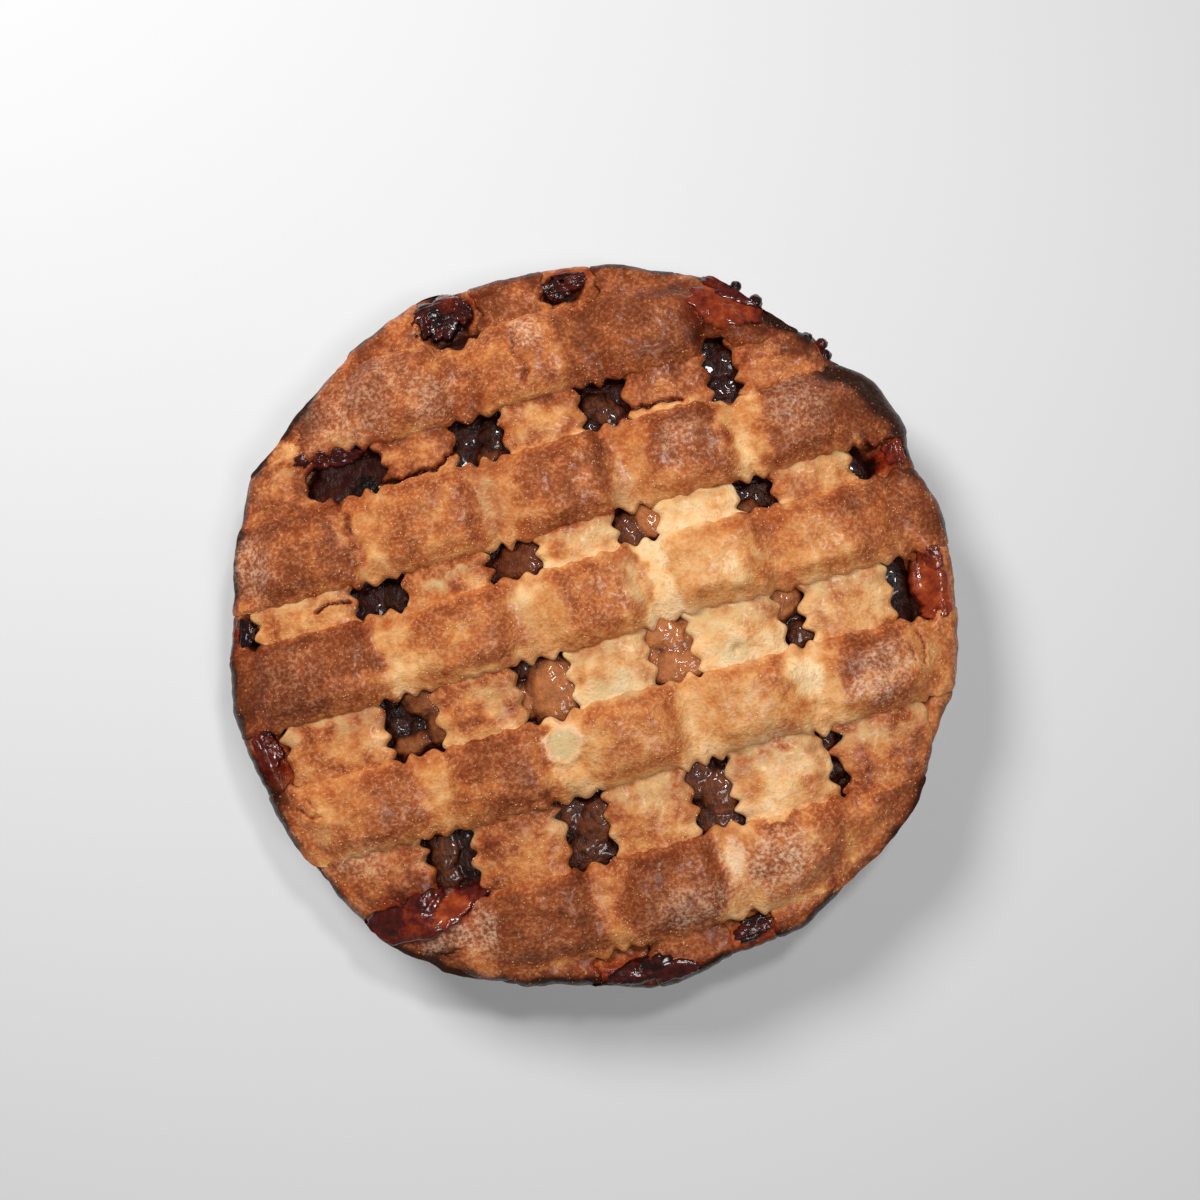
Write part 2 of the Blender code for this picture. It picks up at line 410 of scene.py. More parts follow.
def gaps(strips):
    """The middle of each gap between neighbouring strips, from low to high."""
    ordered = sorted(strips, key=lambda strip: strip.centre)
    return [(a.centre + a.half + b.centre - b.half) / 2 for a, b in zip(ordered, ordered[1:])]


columns, rows = gaps(under), gaps(over)
print("gaps between lower strips at x =", [round(x / MM) for x in columns])
print("gaps between upper strips at y =", [round(y / MM) for y in rows])

# %% [markdown]
# ## How an upper strip drapes
#
# An upper strip rests on each lower strip and sags between them. Its underside depends on the place
# along it only, so it is worked out once: full height on each lower strip, a hanging curve across
# each gap, a slope down to the rim at both ends, and then a running average, because soft dough
# bends without corners.

# %% Drape
LOWER_THICK = 4.3 * MM
UPPER_THICK = 4.2 * MM
drape_x = np.arange(-700, 701) * LINE_STEP
lower_height = LOWER_THICK + 0.4 * MM
SOFTNESS = 2.8 * MM  # dough bends over about this length


def hanging_line():
    line = np.full(drape_x.shape, lower_height)
    for left, right in zip(under, under[1:]):
        start, end = left.centre + left.half, right.centre - right.half
        half_gap, middle = (end - start) / 2, (end + start) / 2
        sag = min(0.8 * lower_height, 0.42 * half_gap)
        line -= sag * np.clip(1 - ((drape_x - middle) / (half_gap + 2 * MM)) ** 2, 0, 1)
    first, last = under[0].centre - under[0].half, under[-1].centre + under[-1].half
    past = np.maximum(first - drape_x, drape_x - last)
    line -= 0.9 * lower_height * smooth_step(0, 13 * MM, past)
    reach = 28
    weights = near(np.arange(-reach, reach + 1) * LINE_STEP, SOFTNESS)
    return np.convolve(np.pad(line, reach, mode="edge"), weights / weights.sum(), mode="valid")


drape_line = hanging_line()


def drape(x):
    return np.interp(x, drape_x, drape_line)


print("drape from", round(drape_line.min() / MM, 1), "to", round(drape_line.max() / MM, 1), "mm")

# %% [markdown]
# ## Cracks
#
# Where the crust shrank it tore, mostly along the edge where one strip lies over another. Each
# crack is a short list of points with a width and a depth. The distance from a point to the
# nearest part of that line says how far the crack pulls it down, and how far painted shade and
# juice darken it. The points are straight between their corners, so the place is moved about a
# little before the distance is taken.

# %% Cracks
# Strip, points in mm, width, depth
CRACKS = [
    ("under_strip_2", [(-71, 81), (-62, 79), (-54, 81), (-47, 80), (-41, 84), (-36, 87)], 0.8, 4.5),
    ("under_strip_4", [(39, 84), (46, 82), (53, 83), (62, 81)], 0.8, 4.0),
    ("under_strip_1", [(-111, 35), (-104, 36.5), (-96, 36)], 0.5, 4.0),
    ("over_strip_4", [(130, -40), (131, -47), (129, -53)], 0.5, 1.8),
    ("over_strip_4", [(124, -44), (126, -51)], 0.4, 1.2),
    ("over_strip_4", [(-139, -42), (-134, -47), (-129, -48)], 0.5, 1.7),
    ("over_strip_4", [(-133, -40), (-131, -44), (-133, -50)], 0.45, 1.4),
    ("over_strip_1", [(0, 127), (-2, 119), (2, 111), (-1, 104)], 0.9, 0.9),
    ("over_strip_2", [(-90, 80), (-87, 71), (-89, 63), (-85, 55), (-86, 50)], 1.5, 1.3),
    ("under_strip_5", [(96, 92), (103, 89), (110, 90)], 0.9, 0.9),
    ("over_strip_5", [(-104, -112), (-95, -116), (-88, -115)], 0.5, 1.2),
]


def crack_depth(strip, x, y):
    """How deep the strip's cracks are at each point, and how much painted shade and juice darken them,
    from 0 to 1.
    """
    depth, crack_shade_and_juice = np.zeros(x.shape), np.zeros(x.shape)
    px, py = strayed(x, y, 41, (0.9, 0.9, 3.5))
    for node, points, width, deep in CRACKS:
        if node != strip.node:
            continue
        for (ax, ay), (bx, by) in zip(points, points[1:]):
            ax, ay, bx, by = ax * MM, ay * MM, bx * MM, by * MM
            length_squared = (bx - ax) ** 2 + (by - ay) ** 2
            share = np.clip(((px - ax) * (bx - ax) + (py - ay) * (by - ay)) / length_squared, 0, 1)
            away = near(np.hypot(px - ax - share * (bx - ax), py - ay - share * (by - ay)), width * MM)
            depth = np.maximum(depth, deep * MM * away)
            crack_shade_and_juice = np.maximum(crack_shade_and_juice, away * min(1.0, deep / 3.5))
    return depth, crack_shade_and_juice


print(len(CRACKS), "cracks")

# %% [markdown]
# ## The strips' upper surface
#
# Height is a sum: what the strip lies on, its thickness, a crown along its middle, a swelling on
# each crossing, where it bakes hardest, and hills of several sizes down to the sugary grain. An
# upper strip's edges sink into the lower strips. Near the outline every strip turns into the same
# pressed rim. Steam raised a few blisters, and one of them, the bubble, has a thin flat top.

# %% Heights
EDGE_ROUND = 2.3 * MM
SHOULDER_WIDE = 9.0 * MM
SEAM = 0.35 * MM  # a strip's end stands this far above the pressed rim
DROOP = 1.0 * MM  # an upper strip's edges sink this far into the strips below
CREVICE = 0.15 * MM  # and elsewhere it lies this far above them


def underside(strip, x, y):
    if not strip.is_upper:
        return bed(x, y)
    t, _ = strip.across(x, y)
    return bed(x, y) + drape(x) + CREVICE - DROOP * smooth_step(0.45, 1.0, np.abs(t))


def swelling(strip, x, y):
    """1 in the middle of each place where the strip swells, 0 in between."""
    lines = [lower.centre for lower in under] if strip.is_upper else rows
    reach, place = (21 * MM, x) if strip.is_upper else (13 * MM, y)
    away = np.min([np.abs(place - line) for line in lines], axis=0)
    return np.clip(1 - (away / reach) ** 2, 0, 1) ** 0.8


def relief(x, y, seed):
    """Unevenness of the baked dough, from hand-sized waves to grains of sugar."""
    large, middling = (0.95 * MM, 16 * MM), (0.50 * MM, 7.5 * MM)
    small, grain = (0.20 * MM, 3.6 * MM), (0.10 * MM, 1.9 * MM)
    return layered_hills(x, y, seed, large, middling, small, grain)


middle_swelling = swelling(over[2], np.array([under[2].centre]), np.zeros(1))[0]
print("on the middle crossing the swelling is at", round(float(middle_swelling), 2), "of its height")

# %% [markdown]
# ## Blisters and the bubble
#
# Steam lifts the dough here and there. A blister is a low dome; one is a hole that a fork left, so
# its height is negative. The bubble is a thin blister that stayed pale: a flat top inside a raised
# rim. Its distance function is used again when its colour is worked out.

# %% Blisters
# x, y, radius and height in mm
BLISTERS = [(55, -27, 2.4, -2.0), (98, 62, 7, 0.9), (-118, 5, 9, 1.2), (64, 4, 8, 0.9)]
BUBBLE = (-25, -45.5, 8.6)  # x, y and radius in mm


def bubble_away(x, y):
    """Distance from the bubble's middle, 1 at its rim."""
    bx, by, radius = BUBBLE
    px, py = strayed(x, y, 43, (1.2, 1.2, 6))
    return np.hypot(px - bx * MM, py - by * MM) / (radius * MM)


def blisters(x, y):
    away = bubble_away(x, y)
    total = 0.8 * MM * smooth_step(1.2, 0.8, away) + 0.5 * MM * near(away - 0.85, 0.15)
    for bx, by, radius, high in BLISTERS:
        away = np.hypot(x - bx * MM, y - by * MM) / (radius * MM)
        total = total + high * MM * np.clip(1 - away**2, 0, 1) ** 0.7
    return total


print(len(BLISTERS), "blisters and a bubble")

# %% [markdown]
# ## The sum of all heights
#
# Now the parts come together. `body` is how far the upper side stands above the underside. Towards
# the outline it gives way to the pressed rim, and last of all come the rounded edges and the cracks.

# %% Upper surface
def top_surface(strip, x, y):
    t, to_edge = strip.across(x, y)
    inside = to_outline(x, y)
    rimness = smooth_step(19 * MM, 6 * MM, inside)
    own = relief(x, y, strip.seed * 7) * (0.4 + 0.6 * smooth_step(0.6, 1.0, bubble_away(x, y)))
    if strip.is_upper:
        thick, crown, swell = UPPER_THICK, 1.0 * MM, 1.5 * MM
        shoulder = (1.5 + 1.5 * on_lower_strip(x)) * MM
    else:
        thick, crown, swell, shoulder = LOWER_THICK, 0.7 * MM, 0.9 * MM, 1.1 * MM
    body = thick + crown * (1 - np.clip(t, -1, 1) ** 2) + swell * swelling(strip, x, y) + own
    body -= shoulder * (1 - smooth_step(-2 * MM, SHOULDER_WIDE, to_edge))
    low = underside(strip, x, y)
    pressed = rim_top(x, y) + SEAM + 0.5 * own - low
    body = body * (1 - rimness) + pressed * rimness + blisters(x, y)
    body -= round_off(to_edge, EDGE_ROUND) + round_off(inside, RIM_ROUND)
    depth, _ = crack_depth(strip, x, y)
    body = np.clip(body, 0.5 * MM, None)
    return low + body - np.minimum(depth, body - 0.4 * MM)


centre_height = top_surface(over[2], np.zeros(1), np.array([over[2].centre]))[0]
print("the middle of the pie stands", round(centre_height / MM, 1), "mm high")

# %% [markdown]
# ## Browning
#
# An oven browns what stands high and stays dry. The crossings, where an upper strip is held up, are
# brown; the places where it sags between lower strips stay pale, and so do the lower strips in the
# middle of the pie, where steam comes up. Each strip has a few numbers from 0 for pale dough to 1
# for burnt. Spots and hills then break them up, and the rim gets a burnt band. A lower strip comes
# out from under one upper strip and goes in under the next. It gets a painted shadow next to the one
# at its +Y end, and is paler next to the one at its -Y end, partly paler dough and partly painted
# light; `from_row` tells a point which of the two is nearer.

# %% Browning along each strip
# Upper strips: left end, the five crossings, right end; then the four sags
UPPER_CROSSINGS = [
    [0.92, 0.86, 0.70, 0.62, 0.87, 0.88, 0.98],
    [0.79, 0.83, 0.64, 0.73, 0.78, 0.80, 0.94],
    [0.97, 0.83, 0.57, 0.64, 0.38, 0.56, 0.92],
    [0.70, 0.58, 0.77, 0.54, 0.42, 0.79, 0.56],
    [0.86, 0.74, 0.78, 0.83, 0.58, 0.70, 0.80],
]
UPPER_SAGS = [
    [0.78, 0.78, 0.88, 0.90],
    [0.45, 0.57, 0.56, 0.39],
    [0.49, 0.45, 0.00, 0.60],
    [0.56, 0.35, 0.33, 0.22],
    [0.73, 0.64, 0.46, 0.62],
]
# Lower strips, from the -Y end: rim, the four gaps between upper strips, rim
LOWER_GAPS = [
    [0.74, 0.70, 0.44, 0.43, 0.76, 0.70],
    [0.86, 0.51, 0.45, 0.59, 0.71, 0.72],
    [0.82, 0.46, 0.16, 0.31, 0.55, 0.88],
    [0.82, 0.16, 0.10, 0.00, 0.71, 0.82],
    [0.80, 0.56, 0.31, 0.45, 0.64, 0.78],
]
# A sag is pale between the second and third place across it, and brown past the first and last
SAG_REACH = (-8.0 * MM, -2.5 * MM, 4.0 * MM, 15.0 * MM)


def upper_browning(strip, x, t):
    crossings, sags = UPPER_CROSSINGS[over.index(strip)], UPPER_SAGS[over.index(strip)]
    half_length = math.sqrt(pie_radius**2 - strip.centre**2)
    inner = [lower.centre for lower in under if abs(lower.centre) < half_length - 8 * MM]
    skipped = (len(under) - len(inner)) // 2
    values = [crossings[0]] + crossings[1 + skipped : 6 - skipped] + [crossings[-1]]
    bake = np.interp(x, [-half_length] + inner + [half_length], values)
    a, b, c, d = SAG_REACH
    for column, sag in zip(columns, sags):
        # A sag is wider towards the strip's edges than in its middle
        away = (x - column) / (0.8 + 0.45 * t**2)
        bake += (sag - bake) * smooth_step(a, b, away) * smooth_step(d, c, away)
    return bake


def from_row(y):
    """How far a point lies above the middle of the nearest row of holes."""
    off = np.stack([y - row for row in rows])
    return np.take_along_axis(off, np.abs(off).argmin(axis=0)[None], axis=0)[0]
print("paler sags:", sum(sag < 0.5 for row in UPPER_SAGS for sag in row), "of", 4 * len(UPPER_SAGS))

# %% [markdown]
# ## Spots
#
# No rule knows where sugar lay thick or where the oven was hot. So a list of spots makes the crust
# browner or paler in one place each. Some are painted light and shade instead: paler bands along the
# -Y edges of upper strips, and browner bands on the lower strips next to them. Where spots overlap
# the strongest one counts: if they were added up, two of them would burn a hole in the pattern.

# %% Spots
# x, y, half width and half height in mm, and how much browner
# Some of these spots are painted light and shade along the strips' edges
SPOTS = [
    (-63, -38, 11, 8, 0.08), (-48, -66, 14, 6, 0.08), (-78, -47, 8, 8, -0.20), (-104, -60, 12, 6, 0.06),
    (30, -110, 5, 7, -0.40), (104, -55, 12, 7, -0.18), (-96, 10, 10, 12, 0.04), (-72, 2, 8, 7, -0.18),
    (45, 14, 16, 10, -0.10), (60, 6, 7, 9, -0.08), (-44, -2, 10, 5, 0.08), (-35, 50, 8, 7, 0.08),
    (4, 62, 12, 11, 0.06), (-62, 62, 9, 12, -0.04), (22, 70, 6, 8, 0.08), (52, -96, 9, 6, -0.18),
    (-20, -62, 8, 6, -0.08), (-80, 104, 9, 9, -0.10), (8, 127, 7, 7, -0.12), (-70, -112, 10, 8, 0.08),
    (-110, 92, 7, 8, -0.25), (-108, 105, 6, 5, -0.50), (-132, -50, 8, 10, -0.10),
    (45, 46, 34, 7, -0.16), (78, -44, 6, 10, -0.18), (62, -82, 8, 9, -0.10), (43, -80, 5, 8, 0.18),
    (-60, 91, 14, 6, -0.10), (-92, 66, 3, 12, -0.14), (-2, 78, 9, 5, -0.05), (97, 60, 14, 12, -0.04),
    (112, 22, 10, 6, 0.12), (-124, -60, 8, 7, 0.06), (-20, 88, 4, 5, -0.15), (38, 70, 8, 7, -0.08),
    (12, -50, 9, 8, 0.06), (-85, 1, 24, 5, -0.10), (-80, 100, 24, 5, -0.14), (-15, 6, 6, 18, -0.18),
    (21, 11, 4, 13, -0.22), (-36, -50, 5, 12, -0.20), (-22, -50, 11, 14, -0.24), (79, -46, 6, 7, -0.56),
    (29, -110, 5, 5, -0.38), (46, -82, 6, 9, 0.16), (70, -89, 8, 6, 0.14), (49, -15, 7, 6, 0.16),
    (70, -20, 5, 6, 0.16), (2, -12, 10, 4, 0.10), (66, 38, 8, 5, 0.12), (-45, 33, 9, 5, -0.28),
    (-10, -4, 12, 5, -0.10), (-88, -3, 14, 5, -0.10), (-75, 97, 8, 7, -0.28), (38, 50, 8, 8, -0.09),
    (75, 55, 5, 8, -0.09), (-18, 58, 6, 8, -0.09), (-8, -93, 8, 4, -0.10), (25, 135, 12, 5, -0.20),
    (-58, -31, 11, 5, 0.30), (50, -9, 14, 4, 0.14), (77, -76, 5, 9, 0.24), (62, -69, 11, 4, 0.22),
    (52, -98, 13, 4, 0.18), (-30, 25, 6, 5, 0.12), (-85, 77, 5, 6, 0.12), (-30, -130, 9, 5, 0.12),
    (5, -125, 8, 5, 0.09), (-95, -92, 8, 5, 0.10), (-45, -92, 6, 6, 0.10), (-34, -65, 5, 6, 0.20),
    (-12, -77, 5, 6, 0.20), (126, -47, 8, 9, -0.18), (82, -66, 9, 5, 0.16), (82, -36, 8, 4, 0.12),
    (38, 54, 6, 10, -0.12), (-19, 58, 5, 10, -0.10), (-33, 20, 5, 7, 0.10), (13, 113, 6, 6, 0.10),
    (-45, 118, 7, 8, 0.08), (28, 44, 14, 5, -0.16), (77, 50, 6, 9, -0.16), (-12, 33, 5, 5, -0.14),
    (112, -72, 12, 4, 0.12), (15, -90, 12, 4, -0.10), (-72, 64, 6, 10, -0.08), (0, 43, 12, 3, 0.12),
    (-58, 37, 6, 4, 0.10), (-22, 129, 7, 4, -0.14), (6, 86, 11, 6, -0.12), (14, 138, 5, 5, -0.14),
    (68, 102, 5, 5, -0.12), (82, 78, 8, 3, -0.12), (-103, 2, 8, 5, -0.08), (-30, 128, 10, 8, -0.06),
    (68, 118, 8, 10, -0.10), (-10, -92, 8, 7, -0.08),
]


def spots(places, x, y, seed):
    """Soft-edged uneven spots: the strongest effect at each point, which can be negative."""
    total = np.zeros(x.shape)
    wx, wy = strayed(x, y, seed, (3.0, 3.0, 10), (1.4, 1.4, 4))
    for px, py, wide, high, strength in places:
        away = np.hypot((wx - px * MM) / (wide * MM), (wy - py * MM) / (high * MM))
        effect = strength * smooth_step(1.35, 0.45, away)
        total = np.where(np.abs(effect) > np.abs(total), effect, total)
    return total


print(len(SPOTS), "spots")

# %% [markdown]
# ## The burnt rim
#
# The rim stands free in the oven's hot air, so it burns first, and more on the side that faced the
# heat. A band follows the outline. How wide and how dark it is changes from one direction to another.

# %% Burnt rim
# The burnt band round the rim: direction in degrees, spread, width in mm, how much browner
BURNT_RIM = [
    (27, 9, 15, 0.42), (42, 8, 7, 0.20), (58, 10, 5, 0.14), (262, 26, 6, 0.26), (296, 22, 5, 0.16),
    (236, 14, 4, 0.14), (176, 30, 5, 0.24), (208, 14, 4, 0.12), (140, 30, 2.5, 0.10),
    (100, 26, 3, 0.08), (340, 26, 3, 0.12), (68, 10, 5, 0.14), (190, 6, 17, 0.34), (14, 4, 15, 0.26),
]


def rim_browning(x, y):
    inside, angle = to_outline(x, y), np.arctan2(y, x)
    inside = inside + 2.0 * MM * hills(x, y, 9 * MM, 58)
    total = 0.07 * smooth_step(5 * MM, 0, inside)
    for place, reach, wide, amount in BURNT_RIM:
        band = smooth_step(wide * MM, 0.25 * wide * MM, inside)
        total = total + amount * band * near(degrees_between(angle, place), reach)
    return total


print(len(BURNT_RIM), "burnt places round the rim")

# %% [markdown]
# ## Shading near edges, and the sum of all browning
#
# Besides the lists, each crossing has a browner ring a little way in from its edges, and each cut
# edge is pale. An upper strip's -Y side gets painted light, and on the -X side of each sag it is
# browner, partly rind and partly painted shade. Then everything is added up. Patches of several
# sizes make it uneven, and a limit keeps all but the rim from burning.

# %% Browning
BROWN_LIMIT = 0.78  # past this, sugared crust darkens only slowly
BUBBLE_BROWN = 0.16


def upper_rind_and_shading(strip, x, y, t, to_edge):
    """Browner on each crossing's shoulders, paler at the cut, painted light along the -Y side and painted
    shade beside each sag.
    """
    shoulder = 0.09 * near(to_edge - 5.0 * MM, 3.0 * MM) * swelling(strip, x, y)
    cut = 0.10 * near(to_edge, 2.0 * MM) * on_lower_strip(x)
    # The side that faces -Y gets painted light
    total = 0.01 + shoulder - cut - 0.13 * smooth_step(-0.4, -0.95, t)
    # Browner on the -X side of each sag: rind, and the painted shade of the pillow next to it
    for column in columns:
        total = total + 0.07 * near(x - column + 11.5 * MM, 4.5 * MM)
    return total


def lower_rind_and_shading(x, y, to_edge):
    """Painted shadow next to the upper strip at its +Y end; paler next to the one at its -Y end, partly
    paler dough and partly painted light.
    """
    inner = smooth_step(112 * MM, 92 * MM, np.hypot(x, y))
    above = from_row(y)
    # +Y end: the painted shadow of the upper strip's edge; -Y end: paler, partly painted light
    ends = 0.13 * smooth_step(3.0 * MM, 9.0 * MM, above) - 0.22 * smooth_step(-2.5 * MM, -11 * MM, above)
    return 0.05 + ends * inner - 0.08 * near(to_edge, 2.5 * MM)


def browning(strip, x, y):
    """How brown the crust is, from 0 to 1."""
    wx, wy = strayed(x, y, 51, (5.5, 5.0, 15), (3.2, 2.6, 5.5))
    t, to_edge = strip.across(x, y)
    patches = layered_hills(x, y, 55, (0.12, 20 * MM), (0.13, 8 * MM), (0.06, 3.6 * MM))
    if strip.is_upper:
        bake = upper_browning(strip, wx, t) + upper_rind_and_shading(strip, wx, wy, t, to_edge)
        patches = 1.1 * patches - 0.4 * np.abs(patches)
    else:
        ends = math.sqrt(pie_radius**2 - strip.centre**2)
        bake = np.interp(wy, [-ends] + rows + [ends], LOWER_GAPS[under.index(strip)])
        bake = bake + lower_rind_and_shading(wx, wy, to_edge)
        patches = 1.7 * patches + 0.2 * np.abs(patches)
    bake = bake + spots(SPOTS, x, y, 65)
    # The browner the crust, the more even
    bake = bake + patches * (1 - 0.35 * smooth_step(0.6, 0.85, bake))
    bake = np.minimum(bake, BROWN_LIMIT + 0.6 * (bake - BROWN_LIMIT))
    bake = bake + (BUBBLE_BROWN + patches - bake) * smooth_step(1.05, 0.80, bubble_away(x, y))
    return np.clip(bake + rim_browning(x, y), 0, 1)


print("browning in the pie's middle:", round(float(browning(over[2], np.zeros(1), np.zeros(1))[0]), 2))

# %% [markdown]
# ## Helpers for materials
#
# A material in Blender is a small network of nodes. Each helper here adds one kind of node and
# returns its output, so that a finish reads like a sum. Colours are given as a screen shows them,
# from 0 to 255, and turned into the linear numbers that a shader takes.

# %% Colours and inputs
def from_srgb(red, green, blue):
    parts = [part / 255 for part in (red, green, blue)]
    linear = [p / 12.92 if p <= 0.04045 else ((p + 0.055) / 1.055) ** 2.4 for p in parts]
    return (*linear, 1.0)


def new_finish(name):
    finish = bpy.data.materials.new(name)
    finish.use_nodes = True
    tree = finish.node_tree
    return finish, tree, tree.nodes["Principled BSDF"]


def put(tree, socket, value):
    """Sets a socket to a number or a colour, or links another node's output to it."""
    if isinstance(value, (int, float, tuple)):
        socket.default_value = value
    else:
        tree.links.new(value, socket)


def attribute(tree, name):
    node = tree.nodes.new("ShaderNodeAttribute")
    node.attribute_name = name
    return node.outputs["Fac"]


def noise(tree, across, detail=2.0, roughness=0.5, stretch=(1, 1, 1)):
    """Smooth noise from 0 to 1 whose lumps are about `across` wide."""
    place = tree.nodes.new("ShaderNodeTexCoord")
    scale = tree.nodes.new("ShaderNodeMapping")
    scale.inputs["Scale"].default_value = stretch
    texture = tree.nodes.new("ShaderNodeTexNoise")
    texture.inputs["Scale"].default_value = 1 / across
    texture.inputs["Detail"].default_value = detail
    texture.inputs["Roughness"].default_value = roughness
    tree.links.new(place.outputs["Object"], scale.inputs["Vector"])
    tree.links.new(scale.outputs["Vector"], texture.inputs["Vector"])
    return texture.outputs["Fac"]
print("burnt sugar as linear numbers:", [round(part, 3) for part in from_srgb(150, 84, 48)])

# %% [markdown]
# ## Sums, ramps and bumps
#
# These nodes change what the first ones give: add or multiply, move a number from one range to
# another, look a colour up, mix two colours. A bump tilts the light as if the surface had hills that
# are finer than the mesh.

# %% Node sums
def maths(tree, operation, first, second=0.0, clamp=False):
    node = tree.nodes.new("ShaderNodeMath")
    node.operation = operation
    node.use_clamp = clamp
    put(tree, node.inputs[0], first)
    put(tree, node.inputs[1], second)
    return node.outputs[0]


def remap(tree, value, from_low, from_high, to_low, to_high):
    node = tree.nodes.new("ShaderNodeMapRange")
    tree.links.new(value, node.inputs["Value"])
    limits = {"From Min": from_low, "From Max": from_high, "To Min": to_low, "To Max": to_high}
    for key, number in limits.items():
        node.inputs[key].default_value = number
    return node.outputs["Result"]


def spread(tree, noise_value, low, high):
    """Noise, which stays mostly between 0.3 and 0.7, as a range of its own."""
    return remap(tree, noise_value, 0.3, 0.7, low, high)


def ramp(tree, value, stops):
    """A colour ramp from (place, colour) stops."""
    node = tree.nodes.new("ShaderNodeValToRGB")
    elements = node.color_ramp.elements
    while len(elements) < len(stops):
        elements.new(0.5)
    for element, (place, colour) in zip(elements, stops):
        element.position = place
        element.color = from_srgb(*colour)
    tree.links.new(value, node.inputs["Fac"])
    return node.outputs["Color"]


def mix(tree, share, first, second, blend="MIX"):
    node = tree.nodes.new("ShaderNodeMix")
    node.data_type = "RGBA"
    node.blend_type = blend
    for number, value in ((0, share), (6, first), (7, second)):
        put(tree, node.inputs[number], value)
    return node.outputs[2]


def add_bump(tree, shader, layers):
    """Chains bumps, each from a height and a depth in metres, into the shader's normal."""
    normal = None
    for height, depth in layers:
        node = tree.nodes.new("ShaderNodeBump")
        node.inputs["Distance"].default_value = depth
        tree.links.new(height, node.inputs["Height"])
        if normal:
            tree.links.new(normal, node.inputs["Normal"])
        normal = node.outputs["Normal"]
    tree.links.new(normal, shader.inputs["Normal"])


trial, trial_tree, _ = new_finish("trial")
maths(trial_tree, "ADD", noise(trial_tree, 1 * MM), 0.5)
print("a trial finish has", len(trial_tree.nodes), "nodes")
bpy.data.materials.remove(trial)

# %% [markdown]
# ## The crust's finish
#
# Browned pastry runs from cream through gold and brown to nearly black. A colour ramp holds those
# colours, and the browning number picks one. Fine noise shifts the number up and down, which gives
# the sandy speckle of a sugared crust, and the same noise gives a bump finer than the mesh. Three
# more numbers change the colour: steam leaves dough damp and greyish, and the same grey paints shade;
# dry sugar leaves a pale bloom, which also paints a sheen; and juice that boiled over glazes the
# crust dark and red.

# %% Crust colours
CRUST_COLOURS = [
    (0.00, (252, 220, 172)),
    (0.15, (247, 203, 146)),
    (0.30, (232, 176, 116)),
    (0.45, (213, 145, 85)),
    (0.60, (191, 111, 60)),
    (0.74, (159, 82, 43)),
    (0.88, (112, 50, 24)),
    (1.00, (44, 17, 8)),
]
WARM_TINT = from_srgb(255, 232, 200)
# Melted sugar, whose pale colour also paints soft glints
GLAZE_AND_GLINT_COLOUR = from_srgb(232, 168, 120)
# Damp dough, and the same colour as painted shade
DAMP_AND_SHADE_COLOUR = from_srgb(204, 182, 134)
# Sugar bloom, and the same colour as a painted sheen
SUGAR_AND_SHEEN_COLOUR = from_srgb(236, 196, 164)
JUICE_COLOUR = from_srgb(176, 66, 26)
JUICE_GLOSS = 0.28  # how much smoother juice makes the crust
print("crust colours:", len(CRUST_COLOURS))

# %% [markdown]
# ## Mixing the crust's finish
#
# The finish mixes from the dough outwards: browned dough, a warm tint in large clouds, melted sugar
# with painted glints, damp with painted shade, dry sugar with painted sheen and last the juice, which
# multiplies the colour as a stain does. The gloss is low, and tinted warm, because what glazes a
# crust is brown itself.

